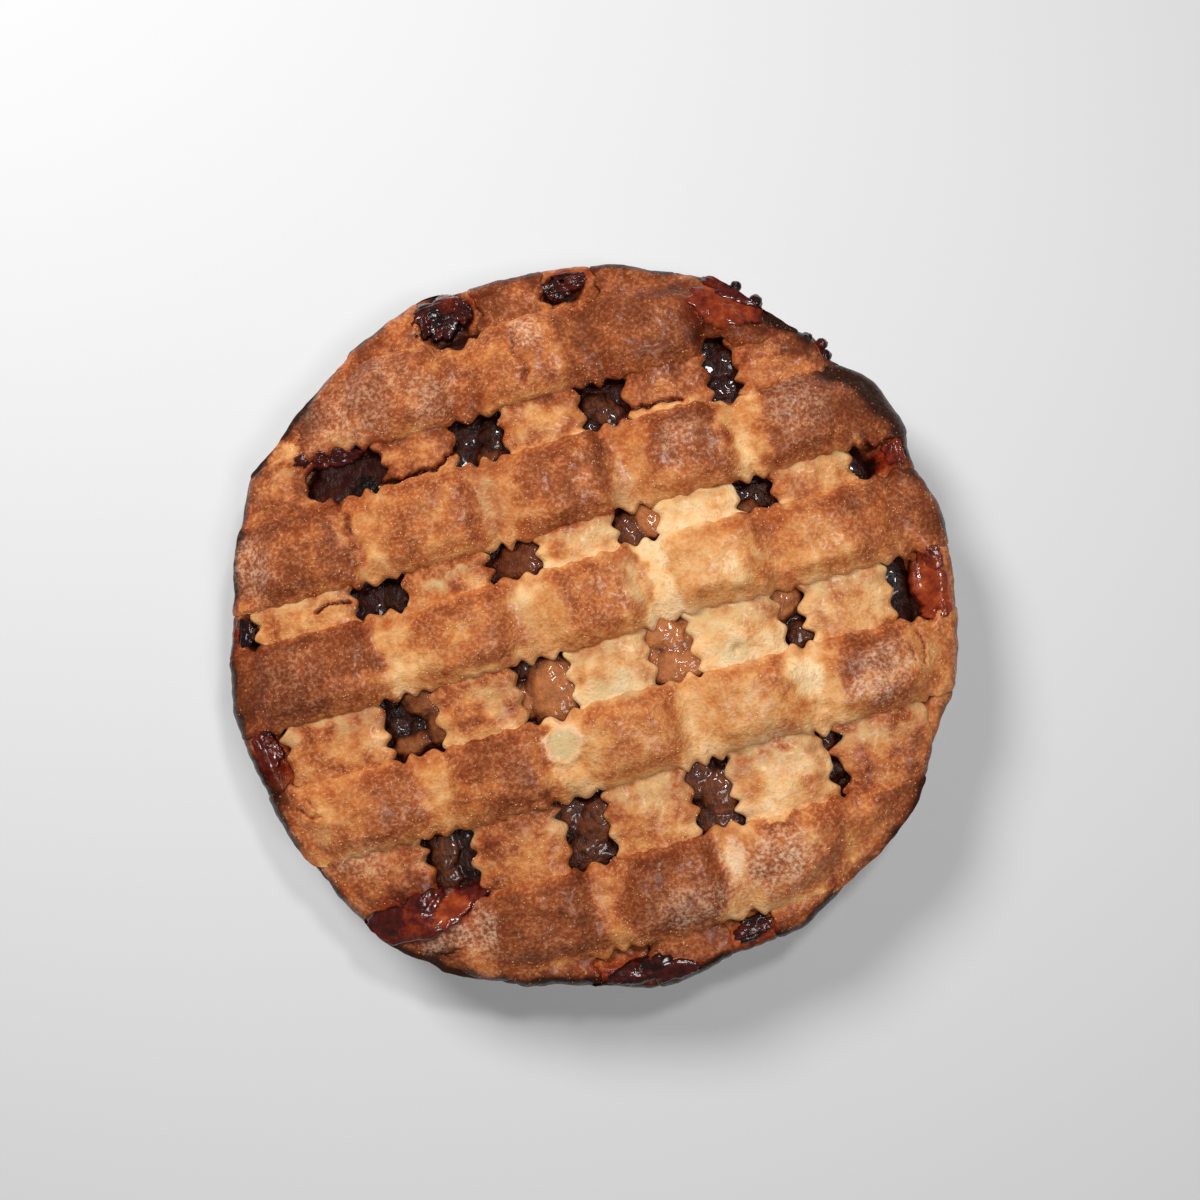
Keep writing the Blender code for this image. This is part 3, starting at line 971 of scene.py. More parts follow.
# %% Crust finish
def make_crust_finish():
    finish, tree, shader = new_finish("baked_crust")
    grain = noise(tree, 1.6 * MM, 2.0, 0.6)
    mottle = noise(tree, 5.5 * MM, 3.0, 0.55)
    warm = noise(tree, 10 * MM, 2.0, 0.5)
    bake, stain = attribute(tree, "bake"), attribute(tree, "stain")

    def times(first, second, clamp=False):
        return maths(tree, "MULTIPLY", first, second, clamp)

    # Burnt places are even, so the speckle fades there, and it is strongest on pale dough
    amount = times(remap(tree, bake, 0.70, 0.95, 1.0, 0.06), remap(tree, bake, 0.15, 0.50, 1.9, 1.0))
    speckle = maths(tree, "ADD", spread(tree, grain, 0.05, -0.05), spread(tree, mottle, 0.05, -0.05))
    shade = maths(tree, "ADD", bake, times(speckle, amount), clamp=True)
    colour = ramp(tree, shade, CRUST_COLOURS)
    colour = mix(tree, remap(tree, warm, 0.4, 0.6, 0.0, 0.55), colour, WARM_TINT, "MULTIPLY")
    # Melted sugar glazes the grain, and its pale colour also paints soft glints
    glaze_and_glint = times(remap(tree, grain, 0.46, 0.70, 0.0, 0.55), remap(tree, mottle, 0.38, 0.62, 0.5, 1.0))
    colour = mix(tree, times(glaze_and_glint, amount), colour, GLAZE_AND_GLINT_COLOUR)
    # Damp dough, and painted shade beside the pillows and under the strips' edges, in one greyish colour
    damp_and_shade = times(attribute(tree, "damp_and_shade"), remap(tree, mottle, 0.35, 0.65, 0.55, 1.0), clamp=True)
    colour = mix(tree, damp_and_shade, colour, DAMP_AND_SHADE_COLOUR)
    # Dry sugar bloom, and a painted sheen, in one pale colour
    bloom_and_sheen = times(remap(tree, mottle, 0.38, 0.62, 0.3, 1.2), remap(tree, grain, 0.40, 0.62, 0.15, 1.3))
    colour = mix(tree, times(attribute(tree, "dust_and_sheen"), bloom_and_sheen, clamp=True), colour, SUGAR_AND_SHEEN_COLOUR)
    colour = mix(tree, stain, colour, JUICE_COLOUR, "MULTIPLY")
    tree.links.new(colour, shader.inputs["Base Color"])
    dry_rough = spread(tree, grain, 0.60, 0.34)
    rough = maths(tree, "SUBTRACT", dry_rough, times(stain, JUICE_GLOSS), clamp=True)
    tree.links.new(rough, shader.inputs["Roughness"])
    shader.inputs["Specular IOR Level"].default_value = 0.30
    shader.inputs["Specular Tint"].default_value = (1.0, 0.80, 0.60, 1.0)
    shader.inputs["Coat Weight"].default_value = 0.16
    shader.inputs["Coat Roughness"].default_value = 0.18
    add_bump(tree, shader, [(mottle, 0.95 * MM), (grain, 0.55 * MM)])
    return finish


crust_finish = make_crust_finish()
print("crust finish:", len(crust_finish.node_tree.nodes), "nodes")

# %% [markdown]
# ## Juice stains, damp places with painted shade, and sugar bloom with painted sheen
#
# Where juice boiled over, the crust round it is dark and wet. Where steam came up, the dough stayed
# pale and slightly grey, and the same grey is painted as shade beside pillows and under strips' edges.
# Where dry sugar lies thick, there is a whitish bloom, and the same white paints a sheen. Each is a
# list of places with a size and a strength, blended by the same function as the brown spots. Two
# rules add what happens everywhere: juice stains the crust beside a hole, and a lower strip gets a
# painted shadow where it comes out from under the upper strip above it.

# %% Stains, damp places with painted shade, dusty places with painted sheen
# x, y, half width, half height in mm, strength
STAINS = [
    (-102, -97, 27, 11, 0.9), (90, 116, 19, 12, 0.9), (-25, 145, 15, 9, 0.9), (28, 145, 12, 6, 0.8),
    (-146, -20, 10, 14, 0.9), (141, 35, 12, 8, 0.9), (140, -20, 10, 14, 0.75), (-24, -144, 22, 8, 0.9),
    (31, -141, 11, 7, 0.9), (-84, 96, 22, 6, 0.8), (-148, 34, 7, 8, 0.9), (4, -150, 18, 5, 0.7),
    (84, 90, 9, 16, 0.35), (-25, -85, 15, 18, 0.25), (-84, -84, 14, 18, 0.3), (-104, -14, 8, 10, 0.25),
    (110, 104, 9, 6, 0.5), (36, -82, 12, 16, 0.2),
]
# How strongly the shadow of an upper strip's edge is painted on the lower strip below it
PAINTED_EDGE_SHADOW = 0.5
HOLE_STAIN = 0.30  # how strongly juice stains the brown crust beside a hole
# Damp dough, together with painted shade beside the pillows and under the strips' edges
DAMP_AND_SHADE_PLACES = [
    (-29, 62, 5, 15, 0.55), (27, 50, 5, 14, 0.35), (8, 36, 15, 4.5, 0.45), (-53, 35, 14, 5, 0.8),
    (55, 38, 13, 3, 0.4), (2, -29, 15, 6, 0.6), (55, -27, 9, 6, 0.6), (20, 10, 5, 14, 0.45),
    (-42, -20, 10, 8, 0.45), (-27, 12, 5, 9, 0.35), (-8, 82, 12, 4, 0.35), (-44, -21, 7, 10, 0.4),
    (63, -68, 14, 3, 0.35), (-68, 86, 8, 5, 0.35),
]
# Dry sugar bloom, together with a painted sheen
DUST_AND_SHEEN_PLACES = [
    (-76, 112, 20, 14, 0.26), (-58, 124, 12, 8, 0.22), (4, 126, 7, 7, 0.6), (31, -109, 6, 8, 1.0),
    (-80, -110, 9, 12, 0.5), (103, -57, 11, 6, 0.65), (58, 68, 8, 8, 0.20), (-132, 60, 9, 14, 0.35),
    (48, -114, 16, 13, 0.55), (60, -78, 6, 5, 0.5), (-118, -70, 10, 8, 0.3), (60, -66, 12, 4, 0.6),
    (-125, 8, 14, 14, 0.08), (-96, -108, 8, 6, 0.5), (12, -124, 22, 8, 0.35), (108, 66, 14, 12, 0.25),
    (-42, 112, 10, 12, 0.25), (112, -50, 14, 10, 0.45), (40, -118, 12, 12, 0.35), (50, 62, 5, 9, 0.30),
]
print(len(STAINS), "stains,", len(DAMP_AND_SHADE_PLACES), "damp places,", len(DUST_AND_SHEEN_PLACES), "dusty places")

# %% [markdown]
# ## From lists to numbers for each point
#
# The next functions turn the lists and the two rules into the four numbers that each point of the
# crust carries. The bubble adds its own: a damp middle and a pale ring.

# %% Numbers for the crust
def beside_hole(x, y):
    """1 along the edges of the holes, where the fruit's juice bubbled against the crust."""
    px, py = strayed(x, y, 64, (3, 3, 7))
    off_x = np.min([np.abs(px - column) for column in columns], axis=0)
    off_y = np.min([np.abs(py - row) for row in rows], axis=0)
    return smooth_step(19 * MM, 11 * MM, np.hypot(off_x, 0.85 * off_y))


def painted_shadow_under_edge(x, y):
    """1 where a lower strip comes out from under the upper strip above it, where that strip's shadow is
    painted.
    """
    above = from_row(y) + 2 * MM * hills(x, y, 6 * MM, 66)
    return smooth_step(1 * MM, 8 * MM, above) * (np.abs(y) < 98 * MM)


def crust_values(x, y, bake, shade=0.0):
    """The numbers that the crust's finish reads, besides how brown it is."""
    away = bubble_away(x, y)
    hole_stain = HOLE_STAIN * beside_hole(x, y) * smooth_step(0.2, 0.6, bake)
    stain = np.maximum(np.clip(spots(STAINS, x, y, 61), 0, 1), hole_stain)
    # A lower strip gets a painted shadow next to the upper strip above it
    damp_and_shade = np.maximum(spots(DAMP_AND_SHADE_PLACES, x, y, 62), shade * painted_shadow_under_edge(x, y))
    damp_and_shade = np.maximum(damp_and_shade, 0.9 * smooth_step(0.85, 0.55, away))
    # A pale ring round the bubble's raised rim
    ring = 1.1 * near(away - 0.85, 0.16) * (0.6 + hills(x, y, 5 * MM, 67))
    dust_and_sheen = np.maximum(spots(DUST_AND_SHEEN_PLACES, x, y, 63), ring)
    return {
        "bake": bake,
        "stain": stain,
        "damp_and_shade": np.clip(damp_and_shade, 0, 1) * smooth_step(0.7, 0.45, bake),
        "dust_and_sheen": np.clip(dust_and_sheen, 0, 1),
    }


middle_values = crust_values(np.zeros(1), np.zeros(1), np.full(1, 0.5))
print("in the pie's middle:", {key: round(float(value[0]), 2) for key, value in middle_values.items()})

# %% [markdown]
# ## Lofting a strip
#
# Each strip is a loft: a closed ring of points round its section, repeated along its length. Points
# lie closer together near the cut edges, where the surface rounds off. The ends follow the pie's
# outline, so each line along the strip starts and stops where it meets the outline. Underneath, where
# nothing shows, every fourth point is enough. A vertical cut edge would show one stretched line of
# colour, so the edge and the underside get a browner, juicier number of their own.

# %% Points across and along
STEP = 0.85 * MM
CORNER_ROUND = 4.0 * MM


def end_of(strip, t, sign):
    """Place along the strip where the line at t across it meets the outline."""
    half_chord_squared = pie_radius**2 - (strip.centre + t * strip.half) ** 2
    along = np.sqrt(np.clip(half_chord_squared, (20 * MM) ** 2, None)) * sign
    corner = round_off((1 - np.abs(t)) * strip.half, CORNER_ROUND)
    for _ in range(14):
        side = strip.edge_side(along, t)
        x, y = strip.xy(along, side)
        along = along + sign * 0.8 * (to_outline(x, y) - corner) * np.abs(along) / np.hypot(along, side)
    return along


def section_places(strip):
    """Places across a strip from -1 to 1, closer together near the edges."""
    near_edge = np.array([0.0, 0.2, 0.5, 0.9, 1.4, 2.1]) * MM / strip.half
    middle = np.linspace(-1 + near_edge[-1], 1 - near_edge[-1], round(2 * strip.half / STEP) - 2)
    return np.concatenate([-1 + near_edge[:-1], middle, (1 - near_edge[:-1])[::-1]])


def strip_grid(strip):
    """Points of the strip's upper side, as rows across it."""
    t = section_places(strip)
    low_end, high_end = end_of(strip, t, -1), end_of(strip, t, 1)
    count = round((high_end - low_end).max() / STEP)
    along = low_end + np.linspace(0, 1, count)[:, None] * (high_end - low_end)
    x, y = strip.xy(along, strip.edge_side(along, np.broadcast_to(t, along.shape)))
    trimmed = np.minimum(1, outline(np.arctan2(y, x)) / np.hypot(x, y))
    return x * trimmed, y * trimmed


print("points along and across the middle strip:", strip_grid(over[2])[0].shape)

# %% [markdown]
# ## Closing a strip
#
# The loft joins neighbouring rings with four-sided faces, and both ends get caps, so that the strip
# is a closed solid. Each piece also gets its number for stains, browning, damp with painted shade
# and sugar with painted sheen here.

# %% Ten lofted strips
WALL_STAIN = 0.6  # a cut edge is this much darker from juice
WALL_BROWNER = 0.12
UNDER_STAIN = 0.8
UNDER_BROWN = 0.5
# A crack's bottom is painted browner, as the shade in it
CRACK_SHADE = 0.55  # how much browner the bottom of a crack is
UNDER_EVERY = 4


def end_caps(top_count, keep, ring_size, ring_count):
    """Faces that close both ends: each joins a few upper points to two points underneath."""
    caps = []
    low_of = {column: top_count + len(keep) - k for k, column in enumerate(keep)}
    right_wall, left_wall = top_count, ring_size - 1
    last = (ring_count - 1) * ring_size
    for a, b in zip(keep, keep[1:]):
        face = list(range(a, b + 1))
        face += [right_wall] if b == keep[-1] else []
        face += [low_of[b], low_of[a]]
        face += [left_wall] if a == 0 else []
        caps.append([int(i) for i in face])
        caps.append([int(i) + last for i in face[::-1]])
    return caps


def loft_strip(strip):
    x, y = strip_grid(strip)
    top_z, low_z = top_surface(strip, x, y), underside(strip, x, y)
    wall_z = 0.55 * low_z + 0.45 * top_z
    _, crack_shade_and_juice = crack_depth(strip, x, y)
    bake = np.clip(browning(strip, x, y) + CRACK_SHADE * crack_shade_and_juice, 0, 1)
    values = crust_values(x, y, bake, 0.0 if strip.is_upper else PAINTED_EDGE_SHADOW)
    stain = np.maximum(values["stain"], 0.9 * crack_shade_and_juice)
    keep = np.unique(np.append(np.arange(0, x.shape[1], UNDER_EVERY), x.shape[1] - 1))

    def ring(top, wall, low):
        """One closed ring for each row: over the top, down one side, back underneath, up the other."""
        return np.concatenate([top, wall[:, -1:], low[:, keep][:, ::-1], wall[:, :1]], axis=1)

    points = np.stack([ring(x, x, x), ring(y, y, y), ring(top_z, wall_z, low_z)], axis=-1)
    baked = {key: ring(value, value, value).ravel() for key, value in values.items()}
    inner = smooth_step(4 * MM, 12 * MM, to_outline(x, y))
    low_stain = np.maximum(stain, UNDER_STAIN * inner)
    baked["stain"] = ring(stain, np.maximum(stain, WALL_STAIN), low_stain).ravel()
    wall_bake = np.clip(bake + WALL_BROWNER, 0, 1)
    baked["bake"] = ring(bake, wall_bake, np.maximum(bake, UNDER_BROWN)).ravel()
    ring_count, ring_size = points.shape[:2]
    faces = quad_rows(ring_count, ring_size, closed_columns=True)[:, ::-1].tolist()
    faces += end_caps(x.shape[1], keep, ring_size, ring_count)
    # A lower strip runs along Y, so its rings go round the other way
    if not strip.is_upper:
        faces = [face[::-1] for face in faces]
    name = strip.node + "_baked"
    add_mesh(name, points.reshape(-1, 3), faces, crust_finish, "crust", [strip.node], **baked)


for strip in under + over:
    loft_strip(strip)

# %% [markdown]
# ## The bottom crust's edge
#
# The bottom crust lines the tin, and its lip laps over the tin's rolled edge. Only the lip shows,
# between the strips' ends and from the side, but the piece is a whole bowl, as the real one is. It
# is turned: one section, repeated round the pie, whose outer part follows the trimmed outline. In
# the gaps between the strips' ends the lip was squeezed up, so that it closes the rim.

# %% Turned pieces
def turned(name, sections, segments, material, slot, node, values):
    """A closed piece turned about Z. Each section gives r and z for all directions at once."""
    angle = np.linspace(0, math.tau, segments, endpoint=False)
    grids = []
    for section in sections:
        r, z = section(angle)
        grids.append(np.stack([r * np.cos(angle), r * np.sin(angle), z + 0 * angle], axis=-1))
    points = np.concatenate(grids + [[[0, 0, grids[0][:, 2].mean()], [0, 0, grids[-1][:, 2].mean()]]])
    first, last, start = len(points) - 2, len(points) - 1, (len(grids) - 1) * segments
    faces = quad_rows(len(grids), segments, closed_columns=True)[:, ::-1].tolist()
    for i in range(segments):
        j = (i + 1) % segments
        faces.append([first, i, j])
        faces.append([last, start + j, start + i])
    numbers = values(points[:, 0], points[:, 1], points[:, 2])
    add_mesh(name, points, faces, material, slot, [node], **numbers)


def fixed(r, z):
    """A section at the same radius and height all round."""
    return lambda angle: (r + 0 * angle, z + 0 * angle)


print("a fixed section gives r and z:", fixed(0.1, 0.02)(0.0))

# %% [markdown]
# ## The squeezed lip
#
# The sections of the bottom crust run from the middle of its inside, out over the lip, down round
# its edge, back under the lip past the tin's rolled edge and down the outside to the base. Where a
# hole lies right at the rim, juice kept the lip low, so it isn't squeezed up there.

# %% The lip
_, tin_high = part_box("foil_tin")
TIN_RIM_R = tin_high[0]
TIN_DEEP = tin_high[2]
TIN_BASE_R = 121.5 * MM
TIN_TOP_R = 145 * MM
WALL_SLOPE = (TIN_TOP_R - TIN_BASE_R) / TIN_DEEP
LIP_SEAM = 0.5 * MM
CASE_FLOOR = 1.0 * MM
# The lip's sections: how far inside the outline, and how far below the pressed rim
LIP = [
    (17, 5.2), (14.5, 4.6), (12.5, 3.6), (11, 2.4), (9.6, 1.3), (8.4, 0.5), (7.2, 0.0), (6.0, 0.0),
    (4.8, 0.0), (3.7, 0.1), (2.8, 0.2), (2.0, 0.5), (1.3, 1.0), (0.7, 1.7), (0.3, 2.6), (0.15, 3.6),
    (0.3, 4.6), (0.6, 5.6), (1.0, 6.5), (1.7, 7.2),
]
# Holes right at the rim, where the lip wasn't squeezed up: x, y, half width and half height in mm
RIM_HOLES = [(-26, 146, 12, 12), (26, 143, 10, 6), (132, -24, 9, 13), (130, 34, 7, 7), (-140, 34, 5, 8)]


def covered(x, y):
    """How far a point lies under the nearest strip, from its cut edge; negative in the open."""
    return np.max([strip.across(x, y)[1] for strip in under + over], axis=0)


def in_rim_hole(x, y):
    """1 inside a hole at the rim, 0 outside."""
    px, py = strayed(x, y, 74, (1.5, 1.5, 8))
    away = []
    for hole_x, hole_y, wide, high in RIM_HOLES:
        away.append(np.hypot((px / MM - hole_x) / wide, (py / MM - hole_y) / high))
    return smooth_step(1.15, 0.75, np.min(away, axis=0))


def lip_section(back, drop, seed):
    def section(angle):
        r = outline(angle) - 0.25 * MM - back
        x, y = r * np.cos(angle), r * np.sin(angle)
        open_share = smooth_step(2.5 * MM, 0.0, covered(x, y)) * (1 - 0.8 * in_rim_hole(x, y))
        raised = (RIM_RISE - LIP_SEAM) * open_share - 0.3 * MM
        uneven = layered_hills(x, y, seed, (0.5 * MM, 5 * MM), (0.3 * MM, 2.4 * MM))
        z = rim_top(x, y) - RIM_RISE + np.maximum(raised - drop, -drop - 0.3 * MM)
        return r, np.maximum(z + uneven, TIN_DEEP + 0.8 * MM)
    return section


_, lip_z = lip_section(0.0, 0.0, 71)(np.linspace(0, math.tau, 90))
print("the lip's edge lies from", round(lip_z.min() / MM, 1), "to", round(lip_z.max() / MM, 1), "mm high")

# %% [markdown]
# ## The whole bowl
#
# With the lip done, the rest of the bowl needs only a few plain rings. Its finish is the crust's,
# browner towards the bottom and red where juice ran down inside.

# %% Bottom crust
def case_sections():
    inner = [fixed(60 * MM, CASE_FLOOR + 5 * MM), fixed(TIN_BASE_R - 8 * MM, CASE_FLOOR + 5 * MM)]
    inner += [fixed(TIN_BASE_R - 4 * MM, CASE_FLOOR + 8 * MM), fixed(134 * MM, lip_top - 8 * MM)]
    lip = [lip_section(back * MM, drop * MM, 71) for back, drop in LIP]
    clear = TIN_RIM_R + 0.4 * MM
    hem = [fixed(clear + 0.8 * MM, TIN_DEEP - 0.6 * MM), fixed(clear, TIN_DEEP - 0.2 * MM)]
    hem += [fixed(clear - 0.4 * MM, TIN_DEEP + 0.4 * MM), fixed(143.5 * MM, TIN_DEEP + 0.4 * MM)]
    outer = [fixed(142.4 * MM, TIN_DEEP - 2 * MM), fixed(TIN_BASE_R - 0.6 * MM, 3 * MM)]
    outer += [fixed(TIN_BASE_R - 3 * MM, CASE_FLOOR), fixed(60 * MM, CASE_FLOOR)]
    return inner + lip + hem + outer


def case_values(x, y, z):
    bake = 0.62 + layered_hills(x, y, 72, (0.10, 16 * MM), (0.08, 5 * MM)) + rim_browning(x, y)
    bake += 0.10 * smooth_step(lip_top - 1 * MM, lip_top - 6 * MM, z) + 0.35 * in_rim_hole(x, y)
    values = crust_values(x, y, np.clip(bake, 0, 1))
    values["stain"] = np.maximum(values["stain"], 0.35 * (to_outline(x, y) > 7 * MM))
    return values


CASE_POINTS = 900  # round the pie
turned("bottom_crust", case_sections(), CASE_POINTS, crust_finish, "crust", "pastry_case", case_values)

# %% [markdown]
# ## The foil tin
#
# A foil tin is stamped from one thin sheet. The sheet has too much material at the rim, so the wall
# gathers in many fine folds, and the edge is rolled over to be safe to hold. The base has a pressed
# ring or two, which stiffen it. Again the piece is turned, and the folds are a wave in its radius.

# %% Foil finish
FOIL_COLOURS = [(0.3, (190, 190, 192)), (0.55, (214, 214, 216)), (0.75, (228, 228, 229))]


def make_foil_finish():
    finish, tree, shader = new_finish("pressed_foil")
    brushed = noise(tree, 2.2 * MM, 3.0, 0.6, (1, 1, 0.25))
    creases = noise(tree, 11 * MM, 4.0, 0.65)
    colour = ramp(tree, creases, FOIL_COLOURS)
    tree.links.new(colour, shader.inputs["Base Color"])
    shader.inputs["Metallic"].default_value = 1.0
    tree.links.new(spread(tree, brushed, 0.24, 0.42), shader.inputs["Roughness"])
    add_bump(tree, shader, [(creases, 0.6 * MM), (brushed, 0.08 * MM)])
    return finish


foil_finish = make_foil_finish()
print("foil finish:", len(foil_finish.node_tree.nodes), "nodes")

# %% [markdown]
# ## Folds and a rolled edge
#
# The wall's folds fade out towards the base, where the sheet is still smooth, and they are not all
# equally deep. The rolled edge is a small circle that goes round the rim, a little dented.

# %% Foil tin
FOLDS = 96
FOLD_DEPTH = 0.45 * MM
FOIL = 0.35 * MM
BEAD_R = 1.15 * MM
# The base's profile from the middle out, r and z in mm
BASE = [
    (30, 0), (60, 0), (62, 0.8), (66, 0.8), (68, 0),
    (96, 0), (98, 0.8), (102, 0.8), (104, 0), (118, 0),
]
TIN_POINTS = 768  # round the tin, eight for each fold


def tin_wall(z, inward=0.0):
    def section(angle):
        fold = FOLD_DEPTH * smooth_step(0.05, 0.8, z / TIN_DEEP)
        fold = fold * np.sin(FOLDS * angle + 1.5 * np.sin(5 * angle)) * (1 + 0.5 * np.sin(7 * angle + 1))
        return TIN_BASE_R + WALL_SLOPE * z - 0.8 * MM - inward + fold, z + 0 * angle
    return section


def bead(turn):
    """The rolled edge: a small circle, a little dented."""
    def section(angle):
        dent = 0.12 * MM * hills(TIN_RIM_R * np.cos(angle), TIN_RIM_R * np.sin(angle), 6 * MM, 81)
        size = BEAD_R + dent
        return TIN_RIM_R - 1.3 * MM + size * math.cos(turn), TIN_DEEP - 1.25 * MM + size * math.sin(turn)
    return section


def tin_sections():
    """From the middle of the base out, up the wall, over the bead and down the inside, turned round."""
    outside = [fixed(r * MM, z * MM) for r, z in BASE] + [fixed(TIN_BASE_R - 0.4 * MM, 0.8 * MM)]
    outside += [tin_wall(z * MM) for z in (2.0, 5, 11, 18, 25, 31, 33.6)]
    outside += [fixed(TIN_RIM_R - 2.6 * MM, TIN_DEEP - 2.3 * MM)]
    outside += [bead(math.radians(turn)) for turn in (-90, -50, -10, 30, 70, 100)]
    inside = [fixed(TIN_TOP_R + 0.6 * MM, TIN_DEEP - 0.4 * MM)]
    inside += [fixed(TIN_TOP_R - 0.8 * MM, TIN_DEEP - 1.0 * MM)]
    inside += [tin_wall(z * MM, FOIL) for z in (33, 20, 8, 3)]
    return (outside + inside + [fixed(118 * MM, 0.8 * MM), fixed(30 * MM, 0.8 * MM)])[::-1]


def no_values(x, y, z):
    """Foil is the same all over, so its points need no numbers."""
    return {}


turned("foil_tin_pressed", tin_sections(), TIN_POINTS, foil_finish, "foil", "foil_tin", no_values)

# %% [markdown]
# ## Fruit in the holes
#
# Through each hole shows the filling: soft slices of apple in dark syrup. The filling is one solid
# that fills the crust. Its top is a grid of points, close together only where a hole lets it show.
# Each slice is a rounded hump of its own, because every hole shows something else: some are
# nearly black, some show a pale slice. The darkest tones, on the deepest slices, are partly painted
# shade. Where a strip lies on the fruit, the fruit is pressed down.

# %% Slices of apple
# x, y, half length, half width in mm, turn in degrees, rise above the bed in mm, tone, how red
# The lowest tones, given to the deepest slices, partly paint the shade in those pits
SLICES = [
    (-78, 83, 8, 6, 10, -2.2, 0.04, 0.0), (-88, 91, 9, 7, 30, -4.5, -0.15, 0.0),
    (-97, 88, 9, 8, 0, -3.5, -0.1, 0.0), (-31, 90, 9, 8, 70, -3.4, 0.0, 0.0),
    (-20, 88, 10, 7, 80, -1.2, 0.12, 0.0), (-24, 80, 7, 4, 0, 0.2, 0.36, 0.1),
    (27, 94, 9, 7, 0, -4.0, 0.0, 0.0), (29, 85, 13, 7, -48, -0.2, 0.30, 0.0),
    (36, 80, 6, 4, 0, 0.3, 0.24, 0.4), (82, 98, 8, 8, 0, -5.0, 0.0, 0.0),
    (83, 84, 8, 7, 0, -2.4, 0.06, 0.2), (-88, 35, 9, 7, 90, -3.4, 0.0, 0.0),
    (-77, 33, 9, 8, 80, -1.8, 0.12, 0.0), (-34, 33, 6, 8, 0, -1.6, 0.24, 0.0),
    (-23, 34, 12, 8, 20, 0.8, 0.46, 0.3), (-19, 30, 6, 5, 0, 1.2, 0.48, 0.3),
    (25, 34, 9, 8, 80, 1.0, 0.42, 0.10), (35, 36, 9, 8, 100, 1.4, 0.84, 0.0),
    (82, 34, 9, 7, 80, -2.0, 0.20, 0.0), (76, 29, 5, 5, 0, 0.3, 0.52, 0.0),
    (132, 34, 9, 8, 0, -2.0, 0.04, 0.0), (-77, -13, 10, 7, -20, 1.2, 0.56, 0.05),
    (-73, -24, 10, 6, 75, 1.0, 0.52, 0.05), (-90, -14, 6, 5, 0, -1.8, 0.10, 0.0),
    (-86, -29, 9, 5, 10, 0.8, 0.58, 0.1), (-92, -21, 5, 6, 0, -1.6, 0.20, 0.0),
    (-83, -23, 5, 4, 0, -1.8, 0.08, 0.0), (-23, -23, 15, 12, 75, 1.8, 0.84, 0.0),
    (-32, -9, 8, 5, 20, -0.8, 0.24, 0.15), (-36, -24, 6, 9, 0, 0.6, 0.76, 0.0),
    (26, -12, 13, 9, -30, 2.4, 0.92, 0.0), (20, -21, 5, 8, 0, 1.2, 0.84, 0.0),
    (36, -15, 9, 8, 60, 1.0, 0.70, 0.0), (30, -28, 13, 10, 10, 2.2, 0.88, 0.05),
    (80, -12, 9, 8, 30, 1.6, 0.80, 0.05), (84, -28, 8, 6, 0, -0.2, 0.30, 0.1),
    (77, -24, 4, 5, 0, -2.5, 0.05, 0.0), (133, -18, 10, 9, 0, -1.6, 0.08, 0.1),
    (-137, -20, 9, 10, 0, -1.2, 0.10, 0.35), (-136, 34, 8, 8, 0, -2.5, 0.0, 0.0),
    (-86, -79, 15, 7, 80, -0.2, 0.32, 0.0), (-76, -73, 8, 7, 90, -2.5, 0.10, 0.0),
    (-80, -94, 12, 6, 0, -3.4, 0.03, 0.2), (-76, -85, 6, 8, 0, -2.6, 0.06, 0.1),
    (-84, -100, 16, 7, 0, 1.4, 0.05, 0.6), (-31, -74, 11, 9, 120, 0.0, 0.30, 0.0),
    (-20, -80, 11, 9, 60, 1.0, 0.38, 0.15), (-28, -91, 12, 9, 10, 0.4, 0.32, 0.05),
    (24, -74, 11, 9, 40, 1.4, 0.36, 0.10), (32, -83, 12, 9, 90, 2.0, 0.42, 0.08),
    (29, -94, 12, 8, 150, 1.2, 0.30, 0.1), (81, -73, 6, 6, 0, 0.0, 0.22, 0.1),
    (81, -86, 6, 6, 0, 0.0, 0.16, 0.1),
]
print(len(SLICES), "slices of apple show in the holes")

# %% [markdown]
# ## Slices and syrup
#
# Each slice is squarer than an ellipse and rounded over. Where slices overlap, the higher one wins,
# and between them stands the syrup. Where a strip covers the fruit nothing may poke through it, so
# whatever rises above the bed is kept for the open places.

# %% The fruit's surface
SYRUP_DEPTH = 2.2 * MM
BULGE = 3.6 * MM  # a slice's edge lies this far below its top
SLICE_LIFT = 0.9 * MM
CORNERS = 2.5  # 2 makes a slice an ellipse, more makes it squarer


def syrup_level(x, y):
    return layered_hills(x, y, 91, (1.3 * MM, 11 * MM), (0.5 * MM, 4.5 * MM)) - SYRUP_DEPTH


